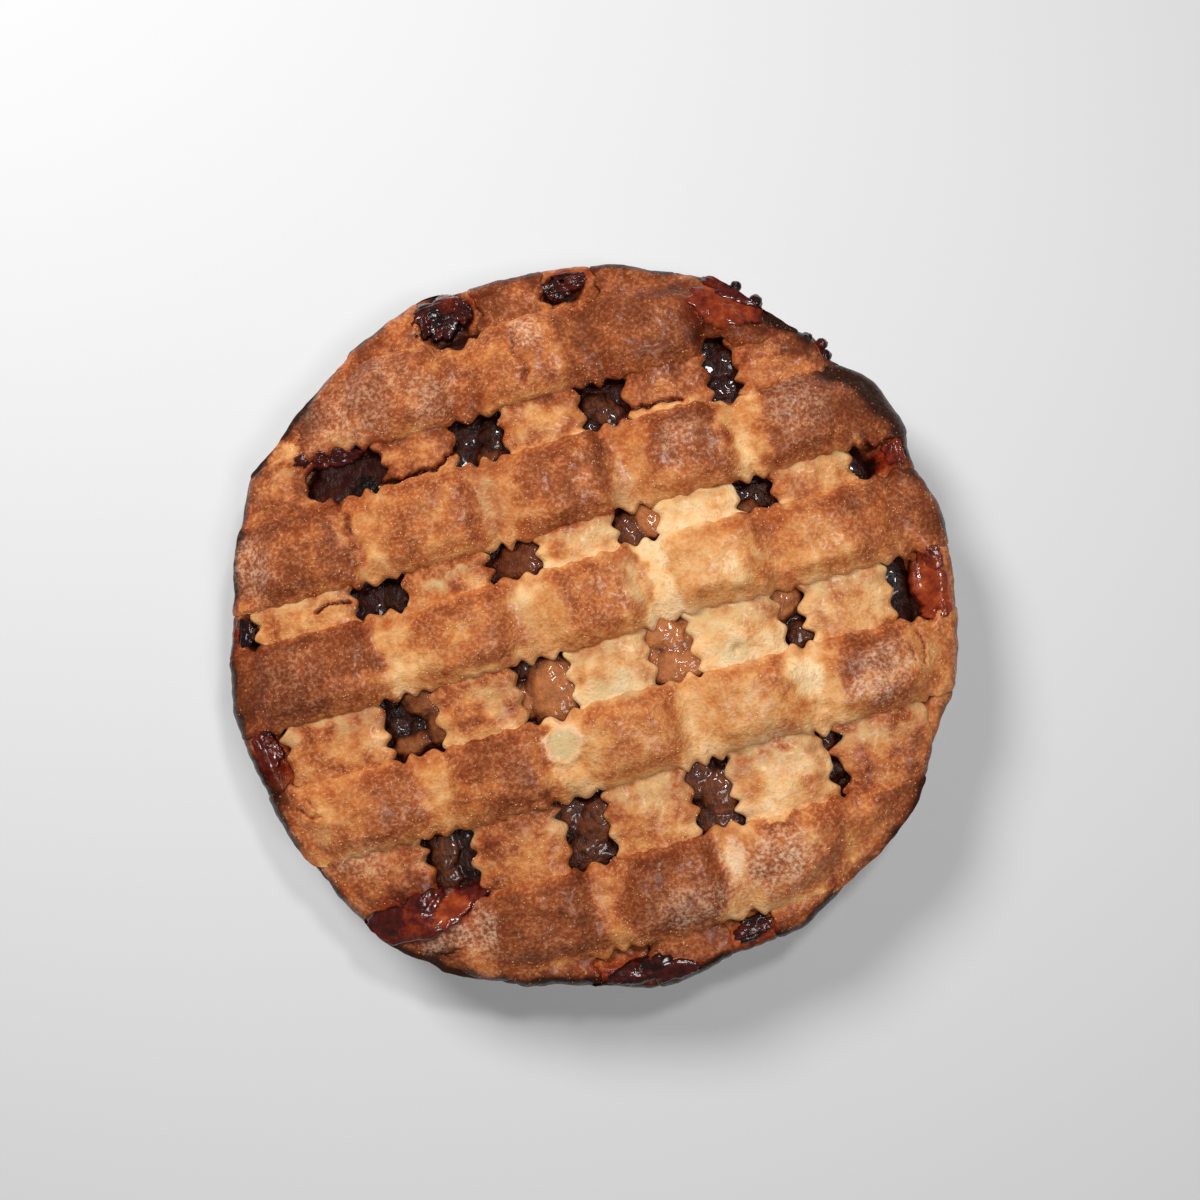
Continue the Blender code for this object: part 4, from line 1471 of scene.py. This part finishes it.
def fruit_surface(x, y):
    """Height of the fruit, how light it is and how red."""
    high = syrup_level(x, y)
    tone = 0.07 + 0.05 * hills(x, y, 9 * MM, 93)
    red = 0.25 + 0 * x
    wx, wy = strayed(x, y, 94, (1.8, 1.8, 7), (0.9, 0.9, 3))
    for sx, sy, long, wide, turn, rise, own_tone, own_red in SLICES:
        dx, dy = wx - sx * MM, wy - sy * MM
        near_slice = np.hypot(dx, dy) < 1.2 * max(long, wide) * MM
        c, s = math.cos(math.radians(turn)), math.sin(math.radians(turn))
        p, q = (c * dx + s * dy) / (long * MM), (c * dy - s * dx) / (wide * MM)
        rho = (np.abs(p) ** CORNERS + np.abs(q) ** CORNERS) ** (1 / CORNERS)
        hump = rise * MM + SLICE_LIFT + BULGE * (np.sqrt(np.clip(1 - rho**2, 0, 1)) - 1)
        hump = hump + layered_hills(dx, dy, 98, (0.35 * MM, 3.2 * MM), (0.16 * MM, 1.5 * MM))
        wins = near_slice & (rho < 1) & (hump > high)
        high = np.where(wins, hump, high)
        # A slice is painted darker towards its rim, as shade in the crevice round it
        tone = np.where(wins, own_tone * (1 - 0.6 * smooth_step(0.55, 1.0, rho)), tone)
        red = np.where(wins, own_red, red)
    open_share = smooth_step(2 * MM, 0, covered(x, y))
    return bed(x, y) - 0.4 * MM + np.minimum(high, 0) + np.maximum(high, 0) * open_share, tone, red


hole_x, hole_y = np.array([columns[1]]), np.array([rows[1]])
print("fruit in one hole:", round(fruit_surface(hole_x, hole_y)[0][0] / MM, 1), "mm high")

# %% [markdown]
# ## The fruit's finish
#
# The fruit's colours run from burnt syrup to stewed apple. A film of syrup makes it wet: the coat is
# a second, smoother gloss over the colour, and noise makes some of it duller.

# %% Fruit finish
FRUIT_COLOURS = [
    (0.00, (14, 5, 3)),
    (0.20, (52, 21, 9)),
    (0.45, (106, 54, 26)),
    (0.70, (150, 86, 44)),
    (1.00, (194, 118, 66)),
]
RED_SYRUP = from_srgb(74, 16, 8)


def make_fruit_finish():
    finish, tree, shader = new_finish("syrupy_fruit")
    cloud = noise(tree, 4 * MM, 3.0, 0.6)
    fibre = noise(tree, 1.1 * MM, 2.0, 0.5, (1, 0.4, 1))
    shift = maths(tree, "ADD", spread(tree, cloud, -0.14, 0.14), spread(tree, fibre, -0.05, 0.05))
    tone = maths(tree, "ADD", attribute(tree, "tone"), shift, clamp=True)
    colour = mix(tree, attribute(tree, "red"), ramp(tree, tone, FRUIT_COLOURS), RED_SYRUP)
    tree.links.new(colour, shader.inputs["Base Color"])
    tree.links.new(spread(tree, cloud, 0.22, 0.5), shader.inputs["Roughness"])
    shader.inputs["Specular IOR Level"].default_value = 0.25
    shader.inputs["Coat Weight"].default_value = 0.50
    shader.inputs["Coat Roughness"].default_value = 0.08
    lumps = noise(tree, 2.2 * MM, 2.0, 0.6)
    add_bump(tree, shader, [(cloud, 0.8 * MM), (lumps, 0.8 * MM), (fibre, 0.4 * MM)])
    return finish


fruit_finish = make_fruit_finish()
print("fruit colours:", len(FRUIT_COLOURS))

# %% [markdown]
# ## The filling as one solid
#
# The grid's lines are close together across the holes and far apart elsewhere. Only the cells inside
# a circle are kept, their outer points are moved on to that circle, and a wall and a base close it.

# %% Filling
FILLING_R = 137.5 * MM
FINE, COARSE = 0.7 * MM, 3.2 * MM
HOLE_REACH = 14 * MM
FILLING_BASE_R = TIN_BASE_R - 9 * MM
FILLING_BASE_Z = 6.4 * MM


def grid_lines(places):
    """Lines from one side to the other, close together near the given places."""
    lines = [-FILLING_R - COARSE]
    while lines[-1] < FILLING_R:
        close = min(abs(lines[-1] - place) for place in places) < HOLE_REACH
        lines.append(lines[-1] + (FINE if close else COARSE))
    return np.array(lines)


def make_filling():
    x, y = np.meshgrid(grid_lines(columns), grid_lines(rows))
    inside = np.hypot(x, y) < FILLING_R
    kept = inside[:-1, :-1] & inside[1:, :-1] & inside[:-1, 1:] & inside[1:, 1:]
    quads = quad_rows(*x.shape)[kept.ravel()]
    used, quads = np.unique(quads, return_inverse=True)
    quads = quads.reshape(-1, 4)
    x, y = x.ravel()[used], y.ravel()[used]

    # The edges that only one cell has are the outer boundary
    starts, ends = quads.ravel(), np.roll(quads, -1, axis=1).ravel()
    size = len(x)
    outer = ~np.isin(ends * size + starts, starts * size + ends)
    starts, ends = starts[outer], ends[outer]
    to_circle = FILLING_R / np.hypot(x[starts], y[starts])
    x[starts], y[starts] = x[starts] * to_circle, y[starts] * to_circle
    high, tone, red = fruit_surface(x, y)
    high[starts] = np.minimum(high[starts], lip_top - 6 * MM)

    shrink = FILLING_BASE_R / FILLING_R
    low_of = np.zeros(size, int)
    low_of[starts] = size + np.arange(len(starts))
    low_z = np.full(len(starts), FILLING_BASE_Z)
    low = np.stack([x[starts] * shrink, y[starts] * shrink, low_z], axis=-1)
    points = np.concatenate([np.stack([x, y, high], axis=-1), low, [[0, 0, FILLING_BASE_Z]]])
    faces = quads.tolist()
    faces += np.stack([ends, starts, low_of[starts], low_of[ends]], axis=-1).tolist()
    faces += [[len(points) - 1, b, a] for a, b in zip(low_of[starts].tolist(), low_of[ends].tolist())]
    rest = np.zeros(len(low) + 1)
    numbers = {"tone": np.append(tone, rest), "red": np.append(red, rest)}
    add_mesh("filling_in_syrup", points, faces, fruit_finish, "filling", ["apple_filling"], **numbers)


make_filling()

# %% [markdown]
# ## What is uppermost
#
# Juice and sugar lie on whatever is uppermost. This step finds, for any point, the height of
# the lattice and how brown it is there, and the height of the lip or the fruit in the open places.

# %% The uppermost surface
LIP_BACKS = [back * MM for back, _ in LIP][::-1]
LIP_DROPS = [drop * MM for _, drop in LIP][::-1]


def lattice_top(x, y):
    """Height and browning of the highest strip at each point, and 0 where there is none."""
    high, bake = np.zeros(x.shape), np.zeros(x.shape)
    for strip in under + over:
        _, to_edge = strip.across(x, y)
        mine = (to_edge > 0) & (to_outline(x, y) > 0)
        if mine.any():
            top = top_surface(strip, x[mine], y[mine])
            higher = top > high[mine]
            places = np.flatnonzero(mine)[higher]
            high.flat[places] = top[higher]
            bake.flat[places] = browning(strip, x[mine][higher], y[mine][higher])
    return high, bake


def pie_top(x, y):
    """Height of whatever is uppermost."""
    inside = to_outline(x, y)
    lip = rim_top(x, y) - LIP_SEAM - np.interp(inside, LIP_BACKS, LIP_DROPS)
    fruit, _, _ = fruit_surface(x, y)
    below = np.where(inside < 12 * MM, np.maximum(lip, fruit), fruit)
    return np.maximum(lattice_top(x, y)[0], np.where(inside > 0, below, TIN_DEEP))


check_x = np.linspace(-0.13, 0.13, 200)
print("highest point along the middle:", round(pie_top(check_x, 0 * check_x).max() / MM, 1), "mm")

# %% [markdown]
# ## Juice that boiled over
#
# At the rim and at one hole, red juice boiled up, ran over the crust and set like glass. Each pool
# is a lens of jelly laid on the crust: rings of points, wobbly in outline, whose top swells above an
# evened-out copy of the crust and drops steeply at the margin, as a set syrup does. Several pools
# that overlap make one rough lump. Where juice ran over the edge it burnt to small black beads.
#
# Thin jelly is amber and thick jelly is nearly black, so the colour follows a number for each pool,
# clouded by hills. Real glass shaders cost much time, so the colour is opaque and the clear coat
# gives the gloss.

# %% Pools and beads
# x, y, half length, half width in mm, turn in degrees, thickness in mm, tone from dark to amber
POOLS = [
    (-101, -99, 27, 8.5, 8, 2.3, 0.34), (-88, -99, 10, 6.0, 25, 3.0, 0.56),
    (-116, -98, 13, 7.0, 10, 2.6, 0.20), (-97, -93, 10, 5.0, 4, 2.8, 0.30),
    (90, 116, 17, 10, -38, 1.6, 0.50), (97, 122, 16, 6.0, -42, 2.6, 0.22),
    (88, 112, 10, 6.5, -30, 2.0, 0.58), (143, -22, 8, 14, 4, 1.5, 0.56),
    (146, -12, 5, 6, 10, 1.8, 0.40), (142, -33, 7, 5, 0, 1.7, 0.54), (144, 36, 6, 6.0, 0, 1.5, 0.36),
    (-22, -144.5, 19, 6.0, 8, 2.2, 0.08), (-6, -147, 12, 4.5, -4, 1.8, 0.14),
    (30, -140, 9, 5.5, 12, 1.4, 0.06), (-33, 148, 6.5, 5.5, 10, 2.0, 0.12),
    (-24, 150, 6.5, 5.5, -30, 2.4, 0.26), (-28, 142, 8.5, 6.0, 30, 2.0, 0.06),
    (-19, 145, 5.0, 5.0, 0, 1.6, 0.18), (-37, 143, 5.0, 5.5, 0, 1.6, 0.10),
    (23, 143, 6.5, 4.0, -20, 1.1, 0.14), (32, 145, 6.0, 4.0, 15, 1.2, 0.24),
    (28, 149, 6.0, 3.0, -5, 0.9, 0.12), (-146, -15, 7, 9, 8, 1.2, 0.28),
    (-143, 35, 6, 6.0, 0, 1.4, 0.0), (-90, 98, 15, 4.0, -4, 2.0, 0.24),
    (-82, -97, 6, 4.0, 0, 1.6, 0.05),
]
# Burnt lumps at the edge: x, y, radius in mm, tone
BEADS = [
    (95.8, 122.0, 3.4, 0.0), (98.8, 124.6, 2.4, 0.0), (104.6, 115.4, 3.4, 0.0), (121.2, 93.8, 3.2, 0.0),
    (127.2, 90.2, 2.6, 0.12), (90.5, 126.8, 2.6, 0.1), (115.5, 98.4, 2.4, 0.0), (127.0, 84.8, 3.0, 0.0),
    (-35.0, 146.5, 3.2, 0.16), (-26.0, 149.5, 2.6, 0.22), (-19.5, 150.0, 2.2, 0.10),
]
print(len(POOLS), "pools and", len(BEADS), "beads")

# %% [markdown]
# ## The jelly's finish
#
# A ramp runs from burnt to amber, and noise clouds it. The body is dull; the clear coat shines.

# %% Jelly finish
JELLY_COLOURS = [
    (0.00, (26, 5, 4)),
    (0.30, (88, 20, 10)),
    (0.60, (146, 54, 20)),
    (0.80, (178, 86, 36)),
    (1.00, (206, 120, 52)),
]


def make_jelly_finish():
    finish, tree, shader = new_finish("set_juice")
    cloud = noise(tree, 3.0 * MM, 3.0, 0.6)
    fine = noise(tree, 0.9 * MM, 2.0, 0.5)
    tone = maths(tree, "ADD", attribute(tree, "tone"), spread(tree, cloud, -0.16, 0.16), clamp=True)
    tree.links.new(ramp(tree, tone, JELLY_COLOURS), shader.inputs["Base Color"])
    tree.links.new(spread(tree, cloud, 0.12, 0.30), shader.inputs["Roughness"])
    shader.inputs["Specular IOR Level"].default_value = 0.3
    shader.inputs["Coat Weight"].default_value = 0.80
    shader.inputs["Coat Roughness"].default_value = 0.06
    add_bump(tree, shader, [(cloud, 0.35 * MM), (fine, 0.06 * MM)])
    return finish


jelly_finish = make_jelly_finish()
print("jelly finish:", len(jelly_finish.node_tree.nodes), "nodes")

# %% [markdown]
# ## A lens of jelly
#
# A pool has to follow the crust without copying each grain of it, so it lies on an average of the
# heights near by. Where its underside would stick out over the outline, it is pulled in.

# %% One pool
POOL_RINGS, POOL_SPOKES = 16, 72
POOL_DIP = 1.6 * MM  # how far its margin sinks into the crust


def kept_inside(x, y, margin):
    """Points past the outline, less a margin, are pulled in to it."""
    pull = np.minimum(1, (outline(np.arctan2(y, x)) - margin) / np.hypot(x, y))
    return x * pull, y * pull


def soft_level(x, y):
    """The uppermost surface, evened out over a few millimetres as jelly fills it."""
    total = 2 * pie_top(x, y)
    for away, first in ((2.5 * MM, 0.0), (5.2 * MM, 0.4)):
        for turn in first + np.arange(8) * math.tau / 8:
            total += pie_top(*kept_inside(x + away * math.cos(turn), y + away * math.sin(turn), 1.5 * MM))
    return total / (2 + 2 * 8)


def wobble(angle, number):
    """An uneven factor for a pool's radius in each direction, different for each pool."""
    total = 1
    for size, turns, seed in ((0.22, 2.0, 101), (0.12, 5.0, 102)):
        total = total + size * hills(turns * np.cos(angle) + 5 * number, turns * np.sin(angle), 1.0, seed)
    return total


def pool_mesh(number, x, y, long, wide, turn, thick, tone):
    angle = np.linspace(0, math.tau, POOL_SPOKES, endpoint=False)[None, :]
    # Rings lie closer together towards the margin, where the jelly is steep
    share = 1 - (1 - np.arange(1, POOL_RINGS + 1) / POOL_RINGS)[:, None] ** 1.5
    reach = share * wobble(angle, number) * MM
    p, q = reach * long * np.cos(angle), reach * wide * np.sin(angle)
    c, s = math.cos(math.radians(turn)), math.sin(math.radians(turn))
    gx, gy = kept_inside(x * MM + c * p - s * q, y * MM + s * p + c * q, 1.0 * MM)
    swell = np.sqrt(np.clip(1 - share**4, 0, 1)) * (1 + 0.20 * hills(gx, gy, 6 * MM, 103))
    # The margin dips into the crust, so where they meet is as uneven as the crust is
    top = soft_level(gx, gy) + thick * MM * swell - POOL_DIP * smooth_step(0.9, 1.0, share)
    low = np.minimum(pie_top(gx, gy), top)[-1] - 1.0 * MM
    points = np.concatenate(
        [
            np.stack([gx, gy, top], axis=-1).reshape(-1, 3),
            np.stack([gx[-1], gy[-1], low], axis=-1),
            [[gx[0].mean(), gy[0].mean(), top[0].mean()]],
        ]
    )
    faces = quad_rows(POOL_RINGS + 1, POOL_SPOKES, closed_columns=True)[:, ::-1].tolist()
    last, middle = POOL_RINGS * POOL_SPOKES, len(points) - 1
    faces += [[i, (i + 1) % POOL_SPOKES, middle] for i in range(POOL_SPOKES)]
    faces.append([last + i for i in range(POOL_SPOKES)][::-1])
    tones = tone + 0.16 * hills(gx, gy, 7 * MM, 105) - 0.15 * smooth_step(0.75, 1.0, share)
    return points, faces, np.concatenate([tones.ravel(), tones[-1], [tone]])


print("one pool has", len(pool_mesh(0, *POOLS[0])[0]), "points")

# %% [markdown]
# ## Burnt beads
#
# A bead is a ball with a few hills on it. Pools and beads are then joined into one piece, since they
# are one stuff: their points follow one another, and each face's numbers move up by as many points.

# %% Beads, and all the juice
BEAD_RINGS, BEAD_SPOKES = 12, 20


def bead_mesh(number, x, y, radius, tone):
    """A lump of burnt juice that hangs on the pie's edge."""
    tilt = np.linspace(0.15, math.pi - 0.15, BEAD_RINGS)[:, None]
    angle = np.linspace(0, math.tau, BEAD_SPOKES, endpoint=False)[None, :]
    hill_x, hill_y = np.cos(angle) * np.sin(tilt) + 3 * number, np.sin(angle) + 2 * np.cos(tilt)
    size = radius * MM * (1 + 0.25 * hills(hill_x, hill_y, 0.9, 104))
    reach = size * np.sin(tilt)
    high = lip_top - 0.5 * MM + 0.8 * size * np.cos(tilt)
    points = np.stack([x * MM + reach * np.cos(angle), y * MM + reach * np.sin(angle), high], axis=-1)
    points = points.reshape(-1, 3)
    faces = quad_rows(BEAD_RINGS, BEAD_SPOKES, closed_columns=True)[:, ::-1].tolist()
    faces.append(list(range(BEAD_SPOKES)))
    faces.append([len(points) - 1 - i for i in range(BEAD_SPOKES)])
    return points, faces, np.full(len(points), tone)


def joined(parts):
    """Several small meshes, each points, faces and a tone, as one."""
    points, faces, tones, start = [], [], [], 0
    for own_points, own_faces, own_tones in parts:
        faces += [[index + start for index in face] for face in own_faces]
        start += len(own_points)
        points.append(own_points)
        tones.append(own_tones)
    return np.concatenate(points), faces, np.concatenate(tones)


lumps = [pool_mesh(number, *pool) for number, pool in enumerate(POOLS)]
lumps += [bead_mesh(number, *bead) for number, bead in enumerate(BEADS)]
points, faces, tones = joined(lumps)
add_mesh("boiled_over_juice", points, faces, jelly_finish, "filling", tone=tones)

# %% [markdown]
# ## Sugar
#
# Coarse sugar was sprinkled on the raw dough. Some grains melted, the rest stand on the crust and
# glint. There are thousands, far too many to place by hand: random points are kept where a strip is
# uppermost, is baked enough and slow hills say there is sugar. Each gets a worn grain, a ball with
# twelve corners that are each moved a little, at a random size and turn. Boxes would glitter like
# glass; worn grains catch the light softly. All are one mesh.

# %% One grain of sugar
def grain_shape():
    """Points and faces of a worn grain: a ball with twelve corners, each joined to its five nearest."""
    long = (1 + math.sqrt(5)) / 2
    corners = [(0, s, t * long) for s in (-1, 1) for t in (-1, 1)]
    corners = np.array([np.roll(corner, turn) for turn in range(3) for corner in corners])
    corners /= np.linalg.norm(corners[0])
    joined_up = np.linalg.norm(corners[:, None] - corners[None], axis=-1) < 1.1
    sides = []
    for a, b, c in itertools.permutations(range(12), 3):
        outward = np.linalg.det(corners[[a, b, c]]) > 0.1
        if a < min(b, c) and outward and joined_up[a, b] and joined_up[b, c] and joined_up[c, a]:
            sides.append((a, b, c))
    return corners, np.array(sides)


corners, sides = grain_shape()
print("a grain has", len(corners), "corners and", len(sides), "faces")

# %% [markdown]
# ## Thousands of grains
#
# Sugar browns with the crust under it, so each grain gets that place's browning number, and its own
# ramp of colours turns it into anything from clear sugar to caramel.

# %% Sugar
SUGAR_TRIES = 16000
SUGAR_SIZE = (0.30 * MM, 0.85 * MM)
SUGAR_COLOURS = [
    (0.0, (250, 224, 178)),
    (0.4, (240, 196, 142)),
    (0.7, (222, 160, 108)),
    (0.9, (160, 96, 60)),
]


def make_sugar_finish():
    finish, tree, shader = new_finish("sugar_crystals")
    cloud = noise(tree, 1.0 * MM, 2.0, 0.5)
    bake = maths(tree, "ADD", attribute(tree, "bake"), spread(tree, cloud, 0.10, -0.10), clamp=True)
    colour = ramp(tree, bake, SUGAR_COLOURS)
    tree.links.new(colour, shader.inputs["Base Color"])
    tree.links.new(spread(tree, cloud, 0.15, 0.35), shader.inputs["Roughness"])
    shader.inputs["Specular IOR Level"].default_value = 0.5
    return finish


def make_sugar():
    rng = np.random.default_rng(111)
    r, angle = pie_radius * np.sqrt(rng.uniform(0, 1, SUGAR_TRIES)), rng.uniform(0, math.tau, SUGAR_TRIES)
    x, y = r * np.cos(angle), r * np.sin(angle)
    plenty = 0.45 + 0.7 * hills(x, y, 14 * MM, 112) + 0.8 * hills(x, y, 4 * MM, 113)
    keep = (rng.uniform(0, 1, SUGAR_TRIES) < plenty) & (to_outline(x, y) > 1.5 * MM)
    x, y = x[keep], y[keep]
    high, bake = lattice_top(x, y)
    # Pale dough was too damp for the grains to stay whole
    found = (high > 0) & (rng.uniform(0.2, 0.6, len(x)) < bake)
    x, y, high, bake = x[found], y[found], high[found], bake[found]
    count = len(x)
    size = 0.5 * rng.uniform(*SUGAR_SIZE, (count, 1, 1)) * rng.uniform(0.7, 1.3, (count, 1, 3))
    size[:, :, 2] *= 0.6
    turn = rng.uniform(0, math.tau, (count, 1))
    shapes = corners[None] * size * rng.uniform(0.8, 1.2, (count, 12, 1))
    c, s, sx, sy = np.cos(turn), np.sin(turn), shapes[..., 0], shapes[..., 1]
    grains = np.stack([c * sx - s * sy, s * sx + c * sy, shapes[..., 2]], axis=-1)
    grains += np.stack([x, y, high], axis=-1)[:, None, :]
    faces = (sides[None] + 12 * np.arange(count)[:, None, None]).reshape(-1, 3).tolist()
    tint = np.repeat(np.clip(bake - rng.uniform(-0.06, 0.12, count), 0, 1), 12)
    add_mesh("sugar_grains", grains.reshape(-1, 3), faces, make_sugar_finish(), "crust", bake=tint)


make_sugar()

# %% [markdown]
# ## Camera
#
# The pie is seen from almost straight above, turned a little, as a shopper holds a camera over it.
# The camera's three axes are worked out from those two angles, and its distance is given.

# %% Camera
TURN = math.radians(15.5)
TILT = math.radians(5)
DISTANCE = 590 * MM
AIM_RIGHT, AIM_UP = 3.0 * MM, 9.7 * MM  # the pie isn't quite in the middle of the view
right = Vector((math.cos(TURN), -math.sin(TURN), 0))
up = Vector((math.sin(TURN), math.cos(TURN), 0))
aim = Vector((0, 0, lip_top + 4 * MM)) + right * AIM_RIGHT + up * AIM_UP
back = (Vector((0, 0, math.cos(TILT))) - up * math.sin(TILT)).normalized()
lens = bpy.data.cameras.new("camera")
lens.lens = 42
lens.sensor_width = 36
lens.clip_start, lens.clip_end = 0.01, 10
camera = put_in_scene("camera", lens)
axes = Matrix((right, back.cross(right), back)).transposed().to_4x4()
camera.matrix_world = Matrix.Translation(aim + back * DISTANCE) @ axes
bpy.context.scene.camera = camera
print("camera at", [round(value, 3) for value in camera.matrix_world.translation])

# %% [markdown]
# ## Floor
#
# The pie stands on a plain, pale, dull floor.

# %% Floor
FLOOR_HALF = 4  # in metres
floor_mesh = bpy.data.meshes.new("floor")
floor_corners = [(FLOOR_HALF * a, FLOOR_HALF * b, 0) for a, b in ((-1, -1), (1, -1), (1, 1), (-1, 1))]
floor_mesh.from_pydata(floor_corners, [], [(0, 1, 2, 3)])
floor_finish, _, floor_shader = new_finish("pale_floor")
floor_shader.inputs["Base Color"].default_value = (0.80, 0.80, 0.80, 1)
floor_shader.inputs["Roughness"].default_value = 0.9
floor_mesh.materials.append(floor_finish)
floor = put_in_scene("floor", floor_mesh)
print("floor at z = 0")

# %% [markdown]
# ## Light
#
# One large soft lamp, the key, stands above and to the upper left, so that each pillow of the
# lattice is lit on one side and shades its neighbour on the other. Every damp surface would mirror so
# wide a lamp as a grey veil, so the key is left out of reflections. Two small lamps near the camera
# give the glints instead, and one of them, with a pale room, keeps the shadows open.

# %% Light
def area_light(name, rightward, upward, high, size, watts):
    """A round lamp that faces the pie, placed as the camera sees it: to the right, up, and height."""
    light = bpy.data.lights.new(name, "AREA")
    light.shape = "DISK"
    light.size = size
    light.energy = watts
    lamp = put_in_scene(name, light)
    lamp.location = rightward * right + upward * up + Vector((0, 0, high))
    lamp.rotation_mode = "QUATERNION"
    lamp.rotation_quaternion = (lamp.location - Vector((0, 0, lip_top))).to_track_quat("Z", "Y")
    print(name, "lamp:", watts, "W")
    return lamp


key = area_light("key", -0.60, 0.62, 0.90, 0.45, 10.6)
key.visible_glossy = False
area_light("fill", 0.28, -0.19, 1.0, 0.26, 2.2)
area_light("glint", 0.20, 0.32, 0.95, 0.12, 2.2)
world = bpy.data.worlds.new("room")
world.use_nodes = True
background = world.node_tree.nodes["Background"]
background.inputs["Color"].default_value = (1, 1, 1, 1)
background.inputs["Strength"].default_value = 0.13
bpy.context.scene.world = world
bpy.context.scene.view_settings.view_transform = "Standard"
